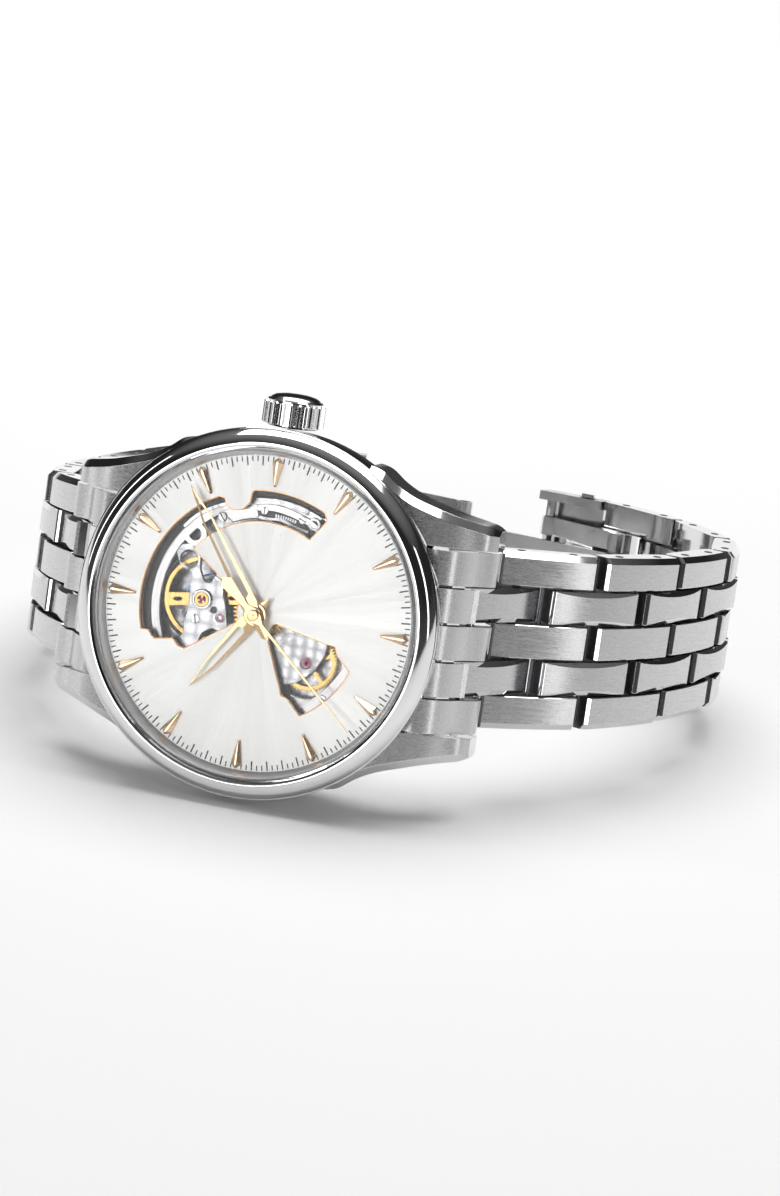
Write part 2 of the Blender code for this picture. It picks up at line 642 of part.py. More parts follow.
def lay_down():
    """Leans the watch until its case and its clasp both touch the floor, and centres it."""
    bpy.context.view_layer.update()
    pieces = [obj for obj in PARTS.objects if obj.type == "MESH"]
    strands = [obj for obj in pieces if "link" in obj.name or "frame" in obj.name]
    head = watch_points([obj for obj in pieces if obj not in strands])
    loop = watch_points(strands)
    low, high = 0.0, math.radians(30)
    for _ in range(40):
        lean = (low + high) / 2
        down = np.array((math.cos(lean), 0, math.sin(lean)))
        if (head @ down).min() < (loop @ down).min():
            low = lean
        else:
            high = lean
    turn = Matrix(((0, -1, 0), (math.sin(lean), 0, -math.cos(lean)), (math.cos(lean), 0, math.sin(lean))))
    world = np.concatenate([head, loop]) @ np.array(turn).T
    least, most = world.min(axis=0), world.max(axis=0)
    shift = Vector((-(least[0] + most[0]) / 2, -(least[1] + most[1]) / 2, -least[2]))
    WATCH.matrix_world = Matrix.Translation(shift) @ turn.to_4x4()


clear_scene()
PARTS = new_collection("automatic_skeleton_wristwatch")
CUTTERS = new_collection("cutters", hidden=True)
WATCH = bpy.data.objects.new("watch", None)
PARTS.objects.link(WATCH)

case()
covers()
dial()
hands()
movement()
crown()
for strand_name in ("six", "twelve"):
    end_link(strand_name)
    strand(strand_name)
clasp()
lay_down()
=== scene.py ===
"""Looks of the skeleton wristwatch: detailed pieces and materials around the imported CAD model.

Shapes are drawn in millimetres in watch axes: x to three o'clock (the crown), y to twelve o'clock, z out of
the dial, origin at the centre of the dial's face. Bracelet pieces are drawn in their own link axes: x across,
y along the strand, z outward.
"""

import math

import bmesh
import bpy
from mathutils import Euler, Matrix, Vector
from mathutils.geometry import tessellate_polygon
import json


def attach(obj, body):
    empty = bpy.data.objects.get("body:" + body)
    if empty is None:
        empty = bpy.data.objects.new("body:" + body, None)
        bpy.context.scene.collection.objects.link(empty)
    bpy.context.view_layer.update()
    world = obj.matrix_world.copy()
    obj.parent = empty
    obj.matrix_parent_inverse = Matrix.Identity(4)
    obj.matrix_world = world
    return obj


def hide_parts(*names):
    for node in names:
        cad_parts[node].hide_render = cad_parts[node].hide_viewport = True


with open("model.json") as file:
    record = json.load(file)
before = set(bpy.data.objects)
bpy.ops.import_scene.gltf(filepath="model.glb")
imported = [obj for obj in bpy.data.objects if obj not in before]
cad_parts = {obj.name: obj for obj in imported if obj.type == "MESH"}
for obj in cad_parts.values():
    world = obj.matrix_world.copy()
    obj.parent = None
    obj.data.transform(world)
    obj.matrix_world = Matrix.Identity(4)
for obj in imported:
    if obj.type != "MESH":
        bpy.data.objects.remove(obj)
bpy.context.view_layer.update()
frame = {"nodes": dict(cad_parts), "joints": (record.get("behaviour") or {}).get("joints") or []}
MM = 0.001
JOINTS = {joint["name"]: joint for joint in frame["joints"]}


# ---------------------------------------------------------------- axes
def axes(x, y, z, origin):
    turn = Matrix((x, y, z)).transposed()
    return Matrix.Translation(origin) @ turn.to_4x4()


DIAL_OUT = Vector(JOINTS["seconds_turn"]["axis"]).normalized()
TO_CROWN = Vector(JOINTS["crown_pull"]["axis"]).normalized()
TO_TWELVE = DIAL_OUT.cross(TO_CROWN).normalized()
SECONDS_HAND_HEIGHT = 1.5
CENTRE = Vector(JOINTS["seconds_turn"]["pos_m"]) - SECONDS_HAND_HEIGHT * MM * DIAL_OUT
WATCH = axes(TO_CROWN, TO_TWELVE, DIAL_OUT, CENTRE)


# ---------------------------------------------------------------- flat outlines
def polar(r, degrees):
    """A point at radius r, measured clockwise from twelve o'clock."""
    a = math.radians(degrees)
    return (r * math.sin(a), r * math.cos(a))


def arc(r, start, end, steps, centre=(0, 0)):
    turns = [start + (end - start) * i / steps for i in range(steps + 1)]
    return [(centre[0] + p[0], centre[1] + p[1]) for p in (polar(r, a) for a in turns)]


def circle(r, steps, centre=(0, 0)):
    return arc(r, 0, 360 - 360 / steps, steps - 1, centre)


def shifted(points, centre):
    return [(x + centre[0], y + centre[1]) for x, y in points]


def area(outline):
    return sum(a[0] * b[1] - b[0] * a[1] for a, b in zip(outline, outline[1:] + outline[:1])) / 2


def rounded(outline, radius, steps=4, sharper_than=18):
    """The outline with a fillet at every corner that turns by more than an angle in degrees."""
    result = []
    n = len(outline)
    for i, corner in enumerate(outline):
        a = Vector(outline[i - 1]) - Vector(corner)
        b = Vector(outline[(i + 1) % n]) - Vector(corner)
        turn = math.degrees(a.angle(-b))
        if turn < sharper_than:
            result.append(corner)
            continue
        reach = min(radius * math.tan(math.radians(turn) / 2), 0.45 * a.length, 0.45 * b.length)
        p, q = Vector(corner) + a.normalized() * reach, Vector(corner) + b.normalized() * reach
        for k in range(steps + 1):
            t = k / steps
            result.append(tuple((1 - t) ** 2 * p + 2 * t * (1 - t) * Vector(corner) + t * t * q))
    return result


def inset(outline, distance):
    """The outline moved inward by a distance, vertex by vertex."""
    side = 1 if area(outline) > 0 else -1
    result = []
    n = len(outline)
    for i, point in enumerate(outline):
        a = (Vector(point) - Vector(outline[i - 1])).normalized()
        b = (Vector(outline[(i + 1) % n]) - Vector(point)).normalized()
        na, nb = Vector((-a.y, a.x)) * side, Vector((-b.y, b.x)) * side
        middle = na + nb
        scale = distance / max(0.35, middle.length_squared / 2)
        result.append(tuple(Vector(point) + middle * scale))
    return result


def spline(points, steps):
    """A smooth open curve through points of any length, steps to each gap."""
    ends = [points[0], *points, points[-1]]
    result = []
    for i in range(1, len(ends) - 2):
        p0, p1, p2, p3 = (Vector(p) for p in ends[i - 1:i + 3])
        for k in range(steps):
            t = k / steps
            result.append(tuple(0.5 * (2 * p1 + (p2 - p0) * t + (2 * p0 - 5 * p1 + 4 * p2 - p3) * t * t
                                       + (3 * p1 - p0 - 3 * p2 + p3) * t ** 3)))
    result.append(tuple(points[-1]))
    return result


def toothed(r, teeth, depth, fill=0.5):
    """A gear's outline with a root and a rounded tip to each tooth."""
    loop = []
    for i in range(teeth):
        for share, radius in ((0.0, r - depth), (0.18, r - depth * 0.25), (0.27, r), (fill - 0.1, r),
                              (fill, r - depth * 0.25), (fill + 0.15, r - depth)):
            loop.append(polar(radius, 360 * (i + share) / teeth))
    return loop


# ---------------------------------------------------------------- solids: (points in mm, faces)
def prism(outline, low, high, holes=(), top=None, chamfer=0.0):
    """The outline extruded from low to high with holes through it. top(x, y) may tilt or crown the upper
    face; chamfer cuts back the upper edges of the outline and of the holes."""
    loops = [list(outline), *[list(h) for h in holes]]
    height = top or (lambda x, y: high)
    rims = loops
    if chamfer:
        rims = [inset(loops[0], chamfer)] + [inset(h, -chamfer) for h in loops[1:]]
    flat = [p for loop in loops for p in loop]
    upper = [p for loop in rims for p in loop]
    n = len(flat)
    low_caps = tessellate_polygon([[Vector((p[0], p[1], 0)) for p in loop] for loop in loops])
    high_caps = tessellate_polygon([[Vector((p[0], p[1], 0)) for p in loop] for loop in rims])
    points = [(x, y, low) for x, y in flat]
    levels = 1
    if chamfer:
        points += [(x, y, height(x, y) - chamfer) for x, y in flat]
        levels = 2
    points += [(x, y, height(x, y)) for x, y in upper]
    faces = [tuple(c) for c in low_caps] + [tuple(levels * n + i for i in reversed(c)) for c in high_caps]
    first = 0
    for loop in loops:
        for i in range(len(loop)):
            a, b = first + i, first + (i + 1) % len(loop)
            for level in range(levels):
                faces.append((level * n + a, level * n + b, (level + 1) * n + b, (level + 1) * n + a))
        first += len(loop)
    return points, faces


def lathe(profile, steps=160, centre=(0, 0)):
    """A closed profile of (radius, height) turned about the z axis; radius 0 is on the axis."""
    points, faces, rings = [], [], []
    for r, z in profile:
        count = 1 if r == 0 else steps
        rings.append((len(points), count))
        for i in range(count):
            a = 2 * math.pi * i / steps
            points.append((centre[0] + r * math.cos(a), centre[1] + r * math.sin(a), z))
    for (a, na), (b, nb) in zip(rings, rings[1:] + rings[:1]):
        for i in range(steps):
            j = (i + 1) % steps
            loop = list(dict.fromkeys([a + i % na, a + j % na, b + j % nb, b + i % nb]))
            if len(loop) > 2:
                faces.append(tuple(loop))
    return points, faces


def loft(sections):
    """Loops with the same number of points joined one to the next and closed at both ends."""
    n = len(sections[0])
    points = [p for loop in sections for p in loop]
    faces = [tuple(range(n)), tuple(reversed(range(len(points) - n, len(points))))]
    for k in range(len(sections) - 1):
        for i in range(n):
            j = (i + 1) % n
            faces.append((k * n + i, k * n + j, (k + 1) * n + j, (k + 1) * n + i))
    return points, faces


def moved(shape, matrix):
    return [tuple(matrix @ Vector(p)) for p in shape[0]], shape[1]


def along_x(shape):
    """Turns a shape made about z so that its axis runs along x."""
    return moved(shape, Matrix(((0, 0, 1), (1, 0, 0), (0, 1, 0))))


def box(x, y, z):
    """A box from three (low, high) pairs."""
    points = [(i, j, k) for i in x for j in y for k in z]
    return points, [(0, 1, 3, 2), (4, 6, 7, 5), (0, 4, 5, 1), (2, 3, 7, 6), (0, 2, 6, 4), (1, 5, 7, 3)]


def spun(shape, degrees):
    """Turned clockwise about the dial's centre."""
    return moved(shape, Matrix.Rotation(math.radians(-degrees), 4, "Z"))


# ---------------------------------------------------------------- materials
class Graph:
    """A material's node tree, built a node at a time."""

    def __init__(self, name, colour, metallic, roughness, **sockets):
        self.material = bpy.data.materials.new(name)
        self.material.use_nodes = True
        self.tree = self.material.node_tree
        self.shader = self.tree.nodes["Principled BSDF"]
        self.material.diffuse_color = (*colour, 1)
        self.set("Base Color", (*colour, 1))
        self.set("Metallic", metallic)
        self.set("Roughness", roughness)
        for key, value in sockets.items():
            self.set(key.replace("_", " "), value)
        source = self.node("ShaderNodeTexCoord")
        self.mm = self.node("ShaderNodeVectorMath", "SCALE", Vector=source.outputs["Object"], Scale=1000.0)[0]

    def set(self, socket, value):
        self.put(self.shader.inputs[socket], value)

    def put(self, socket, value):
        if isinstance(value, bpy.types.NodeSocket):
            self.tree.links.new(value, socket)
        else:
            socket.default_value = value

    def node(self, kind, operation=None, **inputs):
        made = self.tree.nodes.new(kind)
        if operation:
            made.operation = operation
        for key, value in inputs.items():
            socket = made.inputs[int(key[1:])] if key[0] == "i" and key[1:].isdigit() else made.inputs[key]
            self.put(socket, value)
        return made.outputs if operation else made

    def stretched(self, scale):
        return self.node("ShaderNodeVectorMath", "MULTIPLY", i0=self.mm, i1=scale)[0]

    def noise(self, vector, scale=1.0, detail=2.0, roughness=0.5):
        made = self.node("ShaderNodeTexNoise", Vector=vector, Scale=scale, Detail=detail, Roughness=roughness)
        return made.outputs["Fac"]

    def ramp(self, value, low, high, start=0.3, end=0.7):
        made = self.node("ShaderNodeMapRange")
        self.put(made.inputs["Value"], value)
        for key, number in (("From Min", start), ("From Max", end), ("To Min", low), ("To Max", high)):
            made.inputs[key].default_value = number
        return made.outputs["Result"]

    def tint(self, value, dark, light, start=0.3, end=0.7):
        made = self.node("ShaderNodeMix")
        made.data_type = "RGBA"
        self.put(made.inputs["Factor"], self.ramp(value, 0.0, 1.0, start, end))
        colours = [s for s in made.inputs if s.type == "RGBA"]
        colours[0].default_value, colours[1].default_value = (*dark, 1), (*light, 1)
        return next(s for s in made.outputs if s.type == "RGBA")

    def bump(self, value, distance, strength=1.0, under=None):
        made = self.node("ShaderNodeBump", Height=value, Distance=distance * MM, Strength=strength)
        if under is not None:
            self.put(made.inputs["Normal"], under)
        return made.outputs["Normal"]

    def polar(self, across, along):
        """(unit direction from the axis) times across, with the radius times along as the third number."""
        flat = self.node("ShaderNodeVectorMath", "MULTIPLY", i0=self.mm, i1=(1, 1, 0))[0]
        unit = self.node("ShaderNodeVectorMath", "NORMALIZE", i0=flat)[0]
        turned = self.node("ShaderNodeVectorMath", "SCALE", i0=unit, Scale=across)[0]
        length = self.node("ShaderNodeVectorMath", "LENGTH", i0=flat)[1]
        depth = self.node("ShaderNodeMath", "MULTIPLY", i0=length, i1=along)[0]
        lift = self.node("ShaderNodeCombineXYZ", Z=depth).outputs["Vector"]
        return self.node("ShaderNodeVectorMath", "ADD", i0=turned, i1=lift)[0]

    def tangent(self, direction):
        made = self.node("ShaderNodeVectorTransform", Vector=direction)
        made.vector_type, made.convert_from, made.convert_to = "VECTOR", "OBJECT", "WORLD"
        self.set("Tangent", made.outputs["Vector"])


def polished(name, colour, roughness=0.07):
    """Mirror polish with faint wiping marks."""
    g = Graph(name, colour, 1.0, roughness)
    cloud = g.noise(g.mm, 0.35, 3.0)
    hair = g.noise(g.stretched((9, 2.5, 9)), 1.0, 3.0)
    g.set("Roughness", g.ramp(cloud, roughness * 0.75, roughness * 1.5))
    g.set("Base Color", g.tint(cloud, tuple(c * 0.95 for c in colour), colour))
    g.set("Normal", g.bump(hair, 0.0006, 0.5))
    return g.material


def brushed(name, colour, grain, across, roughness=0.3, anisotropic=0.7, depth=0.004):
    """Straight grain: grain is the frequency on each axis per millimetre, across is square to the strokes."""
    g = Graph(name, colour, 1.0, roughness, Anisotropic=anisotropic)
    fine = g.noise(g.stretched(grain), 1.0, 3.0, 0.65)
    broad = g.noise(g.stretched(tuple(c * 0.22 for c in grain)), 1.0, 2.0)
    both = g.node("ShaderNodeMath", "MULTIPLY_ADD", i0=broad, i1=0.45, i2=fine)[0]
    g.set("Roughness", g.ramp(both, roughness * 0.7, roughness * 1.35, 0.45, 1.0))
    g.set("Base Color",
          g.tint(both, tuple(c * 0.78 for c in colour), tuple(min(1, c * 1.08) for c in colour), 0.5, 0.95))
    g.set("Normal", g.bump(both, depth, 0.8))
    g.tangent(across)
    return g.material


def turned(name, colour, roughness=0.28, rings=9.0, anisotropic=0.6):
    """Circular grain about the watch's axis."""
    g = Graph(name, colour, 1.0, roughness, Anisotropic=anisotropic)
    lines = g.noise(g.polar(1.2, rings), 1.0, 3.0, 0.6)
    g.set("Roughness", g.ramp(lines, roughness * 0.7, roughness * 1.4))
    g.set("Base Color", g.tint(lines, tuple(c * 0.8 for c in colour), colour))
    g.set("Normal", g.bump(lines, 0.003, 0.8))
    return g.material


def sunray(name, colour):
    g = Graph(name, colour, 0.62, 0.42, Anisotropic=0.75)
    fine = g.noise(g.polar(150.0, 0.05), 1.0, 3.0, 0.7)
    fans = g.noise(g.polar(4.0, 0.0), 1.0, 2.0, 0.5)
    both = g.node("ShaderNodeMath", "MULTIPLY_ADD", i0=fans, i1=1.2, i2=fine)[0]
    g.set("Base Color", g.tint(both, tuple(c * 0.84 for c in colour), colour, 0.8, 1.3))
    g.set("Roughness", g.ramp(fine, 0.34, 0.5))
    g.set("Normal", g.bump(fine, 0.004, 0.7))
    around = g.node("ShaderNodeTangent")
    around.direction_type, around.axis = "RADIAL", "Z"
    g.set("Tangent", around.outputs["Tangent"])
    return g.material


def perlage(name, colour, pitch=0.9, roughness=0.25, depth=0.006):
    """Overlapping round spots of circular grain."""
    g = Graph(name, colour, 1.0, roughness)
    cells = g.node("ShaderNodeTexVoronoi", Vector=g.mm, Scale=1.0 / pitch, Randomness=0.12)
    distance = cells.outputs["Distance"]
    waves = g.node("ShaderNodeMath", "SINE",
                   i0=g.node("ShaderNodeMath", "MULTIPLY", i0=distance, i1=52.0)[0])[0]
    height = g.node("ShaderNodeMath", "MULTIPLY_ADD", i0=waves, i1=0.12, i2=distance)[0]
    g.set("Base Color", g.tint(distance, colour, tuple(c * 0.5 for c in colour), 0.15, 0.7))
    g.set("Roughness", g.ramp(waves, roughness * 0.8, roughness * 1.5, -1.0, 1.0))
    g.set("Normal", g.bump(height, depth, 0.9))
    return g.material


def glossy(name, colour, roughness, metallic=0.0, **sockets):
    """Ink, lacquer, jewel and painted shade: an even colour broken by a fine mottle."""
    g = Graph(name, colour, metallic, roughness, **sockets)
    cloud = g.noise(g.mm, 6.0, 3.0)
    g.set("Base Color",
          g.tint(cloud, tuple(c * 0.7 for c in colour), tuple(min(1, c * 1.15) for c in colour)))
    g.set("Roughness", g.ramp(cloud, roughness * 0.8, roughness * 1.3))
    g.set("Normal", g.bump(cloud, 0.001, 0.4))
    return g.material


def striped(name, colour):
    """Broad parallel stripes, each with its own fine turned grain."""
    g = Graph(name, colour, 1.0, 0.25)
    wave = g.node("ShaderNodeTexWave", Vector=g.mm, Scale=0.17, Distortion=0.0)
    wave.bands_direction, wave.wave_profile = "Y", "SAW"
    hair = g.noise(g.stretched((1.5, 30.0, 1.5)), 1.0, 3.0)
    both = g.node("ShaderNodeMath", "MULTIPLY_ADD", i0=wave.outputs["Fac"], i1=0.6, i2=hair)[0]
    g.set("Base Color", g.tint(both, tuple(c * 0.72 for c in colour), colour, 0.3, 1.2))
    g.set("Roughness", g.ramp(wave.outputs["Fac"], 0.18, 0.36, 0.0, 1.0))
    g.set("Normal", g.bump(both, 0.01, 0.6))
    return g.material


def sapphire(name):
    g = Graph(name, (0.97, 0.98, 1.0), 0.0, 0.02, Alpha=0.05, IOR=1.77)
    smear = g.noise(g.mm, 0.5, 4.0)
    g.set("Roughness", g.ramp(smear, 0.01, 0.05))
    return g.material


STRAND_GRAIN, ACROSS = (26.0, 0.9, 26.0), (1.0, 0.0, 0.0)
MIRROR = polished("polished_steel", (0.78, 0.78, 0.78), 0.06)
SATIN = brushed("brushed_steel", (0.66, 0.66, 0.66), STRAND_GRAIN, ACROSS, 0.26)
# Darkened steel: painted shade on the bracelet's pins and bars and on the block faces in the gaps.
GAP_SHADE_STEEL = glossy("gap_shade_steel", (0.16, 0.16, 0.17), 0.4, 1.0)
TURNED = turned("turned_steel", (0.72, 0.72, 0.73))
REHAUT = turned("rehaut_steel", (0.66, 0.66, 0.67), 0.3, 24.0)
GOLD_WHEEL = turned("gilt_brass", (0.66, 0.43, 0.15), 0.24, 14.0)
DIAL = sunray("silver_sunray", (0.97, 0.97, 0.95))
PERLAGE = perlage("pearled_plate", (0.62, 0.62, 0.64))
BRIDGE = perlage("rhodium_bridge", (0.55, 0.55, 0.57), 1.5, 0.2, 0.03)
MOVEMENT_STEEL = polished("movement_steel", (0.42, 0.42, 0.43), 0.14)
RIM_STEEL = turned("rim_steel", (0.46, 0.45, 0.45), 0.24)
# Black of painted shade, for screw slots, holes, notches and the gap under the dial's edge.
PAINTED_SHADE = glossy("shadow_black", (0.03, 0.028, 0.026), 0.35)
INK = glossy("black_ink", (0.02, 0.02, 0.022), 0.4)
RUBY = glossy("ruby", (0.50, 0.02, 0.16), 0.08, Coat_Weight=0.6, Coat_Roughness=0.03)
BLUED = glossy("blued_steel", (0.10, 0.16, 0.38), 0.22, 1.0)
CRYSTAL = sapphire("sapphire_crystal")
LIP = polished("rose_lip", (0.62, 0.44, 0.27), 0.15)
# A darker copy of the rose lip: painted shade on the walls that run down into the dial's openings.
SHADED_ROSE_WALL = polished("shaded_rose_wall", (0.30, 0.18, 0.10), 0.2)
MARKER = polished("marker_gold", (0.82, 0.58, 0.36), 0.1)
HAND_GOLD = polished("hand_gold", (0.70, 0.46, 0.23), 0.13)
HOLDER = glossy("holder_black", (0.05, 0.045, 0.04), 0.3, 0.6)
PERLAGE_FINE = perlage("fine_pearled_bridge", (0.62, 0.62, 0.64), 1.2, 0.2, 0.04)
STRIPED = striped("striped_rotor", (0.80, 0.80, 0.81))
CLASP_STEEL = polished("clasp_steel", (0.78, 0.78, 0.79), 0.16)


# ---------------------------------------------------------------- pieces
def piece(name, shapes, body, finishes, at=WATCH, bevel=0.0, segments=2, smooth=30, stands_for=()):
    """A visible piece: shapes are (solid, finish) pairs. A finish is an index in finishes or a rule that
    picks one from a face's centre in mm and its outward normal."""
    data = bpy.data.meshes.new(name)
    points, faces, rules = [], [], []
    for (shape_points, shape_faces), finish in shapes:
        first = len(points)
        points += [tuple(c * MM for c in p) for p in shape_points]
        faces += [tuple(first + i for i in face) for face in shape_faces]
        rules += [finish] * len(shape_faces)
    data.from_pydata(points, [], faces)
    work = bmesh.new()
    work.from_mesh(data)
    bmesh.ops.recalc_face_normals(work, faces=work.faces)
    work.to_mesh(data)
    work.free()
    for finish in finishes:
        data.materials.append(finish)
    for face, rule in zip(data.polygons, rules):
        face.material_index = rule(face.center / MM, face.normal) if callable(rule) else rule
    data.shade_smooth()
    data.set_sharp_from_angle(angle=math.radians(smooth))
    obj = bpy.data.objects.new(name, data)
    bpy.context.scene.collection.objects.link(obj)
    obj.matrix_world = at
    if bevel:
        edge = obj.modifiers.new("edge", "BEVEL")
        edge.width, edge.segments, edge.limit_method = bevel * MM, segments, "ANGLE"
        edge.angle_limit = math.radians(smooth)
        edge.harden_normals = True
    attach(obj, body)
    for node in stands_for:
        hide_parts(node)
    return obj


def keep(node, finish, bevel=0.03, smooth=30):
    """A CAD node that shows as it is, with a finish and a softened edge."""
    obj = frame["nodes"][node]
    obj.data.materials.clear()
    obj.data.materials.append(finish)
    obj.data.shade_smooth()
    obj.data.set_sharp_from_angle(angle=math.radians(smooth))
    if bevel:
        edge = obj.modifiers.new("edge", "BEVEL")
        edge.width, edge.segments, edge.limit_method = bevel * MM, 2, "ANGLE"
        edge.angle_limit = math.radians(smooth)
    return obj


# ---------------------------------------------------------------- dial
OPEN_R, SLOT_R, WEDGE_R, FAN_R = 13.3, 9.8, 2.2, 11.9
DIAL_R, DIAL_T = 17.6, 0.4
STROKE_END = 16.9


def main_opening():
    """The wide window over the balance with its slot along the dial's edge."""
    loop = arc(OPEN_R, -17, 63, 40)
    loop += [(11.75, 5.3), (10.95, 5.0), (10.65, 4.3), (10.85, 3.3), (11.7, 2.6), (12.7, 2.5)]
    loop += arc(OPEN_R, 80, 116, 18)
    loop += [(11.1, -6.3), *arc(SLOT_R, 118, 36, 40)]
    loop += arc(WEDGE_R, 33, -32, 12)
    loop += [(-5.2, 7.6), (-5.0, 8.3), (-4.3, 9.0), (-4.65, 11.0), (-4.3, 11.5), (-3.85, 11.8)]
    return rounded(loop, 0.3, 4)


def fan_opening():
    """The fan over the third wheel."""
    loop = [(-2.8, -1.5), (-8.3, -3.8), (-8.6, -4.6), (-10.15, -6.15)]
    loop += arc(FAN_R, -122, -158, 18)
    loop += [(-2.9, -9.4), (-1.95, -9.0), (-1.85, -8.1), (-0.6, -2.0), (-1.5, -1.6)]
    return rounded(loop, 0.35, 4)


def marker():
    """An applied index at twelve: two long facets and a narrow flat ridge."""
    foot = [(0.0, 16.9), (-0.62, 16.35), (-0.13, 13.75), (0.13, 13.75), (0.62, 16.35)]
    brow = [(0.0, 16.62), (-0.13, 16.3), (-0.035, 14.0), (0.035, 14.0), (0.13, 16.3)]
    return loft([[(x, y, -0.15) for x, y in foot], [(x, y, 0.2) for x, y in foot],
                 [(x, y, 0.52) for x, y in brow]])


def stroke(degrees, inner, outer, width):
    """A printed minute stroke, a hair above the dial."""
    return spun(box((-width / 2, width / 2), (inner, outer), (-0.02, 0.012)), degrees)


def make_dial():
    windows = [main_opening(), fan_opening()]
    plate = prism(circle(DIAL_R, 240), -DIAL_T, 0, [circle(1.1, 40), *windows])
    piece("dial_plate", [(plate, 0)], "case", [DIAL], bevel=0.03, stands_for=["dial"])
    walls = []
    # The walls down into the openings take the darker rose of painted shade; the lips take the rose gold.
    for window in windows:
        step, inner = inset(window, 0.04), inset(window, 0.14)
        wall = prism(inset(window, -0.02), -DIAL_T - 0.45, -0.06, [inner])
        lip = prism(inset(window, -0.03), -0.3, 0.03, [step], chamfer=0.015)
        walls += [(wall, 1), (lip, 0)]
    for start, end in ((-16, 62), (81, 115)):
        rows = [[(*polar(r, a), z) for r, z in ((13.25, -0.85), (13.25, -0.3), (13.02, -0.7), (13.02, -0.85))]
                for a in range(start, end + 1, 3)]
        walls.append((loft(rows), 1))
    piece("opening_rims", walls, "case", [LIP, SHADED_ROSE_WALL], smooth=40)
    piece("hour_markers", [(spun(marker(), 30 * h), 0) for h in range(12)], "case", [MARKER],
          bevel=0.02, smooth=15)
    strokes = []
    for minute in range(60):
        if minute % 5:
            strokes.append((stroke(6 * minute, 15.9, STROKE_END, 0.16), 0))
        for part in (2, 4):
            strokes.append((stroke(6 * minute + part, 16.35, STROKE_END, 0.13), 0))
    piece("minute_track", strokes, "case", [INK])
    slope = lathe(((17.0, 0.02), (17.62, 0.02), (17.75, 0.3), (17.75, 1.5), (17.5, 1.62), (17.3, 1.3),
                   (17.08, 0.35)), 240)
    piece("rehaut", [(slope, 0)], "case", [REHAUT], bevel=0.03, smooth=25,
          stands_for=["flange_ring"])


# ---------------------------------------------------------------- hands
# Where the hands stand, in minutes of the dial at 6 degrees each.
HOUR_AT, MINUTE_AT, SECONDS_AT = 6 * 50.8, 6 * 9.1, 6 * 36.9


def half_hand(outline, slot, level, thickness, slope):
    """One half of a dauphine hand, its top falling away from the middle line."""
    return prism(outline + slot, level, level + thickness,
                 top=lambda x, y: level + thickness - slope * abs(x))


def dauphine(name, body, node, degrees, length, width, waist, base, level, tail, bore):
    """A skeleton dauphine hand pointing at twelve, turned to where it stands."""
    outer = [(0, length), (0.06, length - 0.25), (width, waist), (base, 1.25), (0.72, 0.3), *tail]
    slot = [(0, 1.9), (base * 0.5, 2.3), (width - 0.2, waist + 0.05), (0, waist + 2.6)]
    right = half_hand(outer, slot, level, 0.2, 0.11)
    left = [(-x, y, z) for x, y, z in right[0]], [tuple(reversed(f)) for f in right[1]]
    hub = lathe(((bore, level - 0.03), (bore + 0.38, level - 0.03), (bore + 0.42, level + 0.2),
                 (bore + 0.3, level + 0.27), (bore, level + 0.27)), 48)
    shapes = [(spun(s, degrees), 0) for s in (right, left)] + [(hub, 0)]
    piece(name, shapes, body, [HAND_GOLD], bevel=0.02, smooth=8, stands_for=[node])


def make_hands():
    dauphine("hour_hand_dauphine", "hour_train", "hour_hand", HOUR_AT, 10.9, 0.62, 7.6, 0.95, 0.72,
             [(0.95, -0.15), (0.62, -0.62), (0.0, -2.45)], 0.9)
    dauphine("minute_hand_dauphine", "minute_train", "minute_hand", MINUTE_AT, 15.4, 0.62, 11.3, 0.95, 1.13,
             [(0.6, -0.5), (0.42, -2.6), (0.0, -2.95)], 0.46)
    needle = [(0.0, 16.1), (0.05, 16.0), (0.15, 1.4), (0.62, 0.5), (0.66, -0.4), (0.28, -1.2), (0.42, -2.4),
              (0.74, -4.55), (0.0, -5.2)]
    needle += [(-x, y) for x, y in reversed(needle[1:-1])]
    blade = prism(needle, 1.5, 1.62, chamfer=0.02)
    cap = lathe(((0, 1.5), (0.62, 1.5), (0.62, 1.72), (0.5, 1.8), (0.34, 1.8), (0.3, 1.7), (0.14, 1.7),
                 (0.1, 1.78), (0, 1.8)), 40)
    post = lathe(((0, -2.4), (0.14, -2.4), (0.14, 1.55), (0, 1.55)), 16)
    shapes = [(spun(blade, SECONDS_AT), 0), (cap, 0), (post, 0)]
    piece("seconds_needle", shapes, "seconds_hand", [HAND_GOLD], smooth=30,
          stands_for=["seconds_hand"])


# ---------------------------------------------------------------- case
LUG_INNER = 10.15
LUG_STATIONS = (
    # y, outer x, top z, bottom z
    (9.8, 17.6, -0.5, -5.9),
    (11.2, 17.2, -0.65, -6.1),
    (12.8, 16.0, -0.9, -6.4),
    (14.8, 14.95, -1.3, -6.9),
    (17.2, 14.15, -2.0, -7.7),
    (19.4, 13.5, -2.95, -8.6),
    (21.4, 13.05, -4.2, -9.4),
    (22.8, 12.75, -5.1, -9.5),
    (23.7, 12.3, -6.2, -9.3),
)


def lug(side_x, side_y):
    """The lug on the given side of three and twelve o'clock, 1 or -1 each."""
    sections = []
    for y, x, top, bottom in spline(LUG_STATIONS, 5):
        facet = 0.85 if y < 22.8 else 0.85 - 0.4 * (y - 22.8)
        loop = ((LUG_INNER, top), (x - facet, top), (x, top - 0.75), (x, bottom + 0.35), (x - 0.35, bottom),
                (LUG_INNER, bottom))
        sections.append([(side_x * px, side_y * y, pz) for px, pz in loop])
    return loft(sections)


def lug_finish(centre, normal):
    """Brushed on top, polished on the bevel, the sides and below."""
    return 1 if normal.z > 0.5 and abs(normal.x) < 0.25 else 0


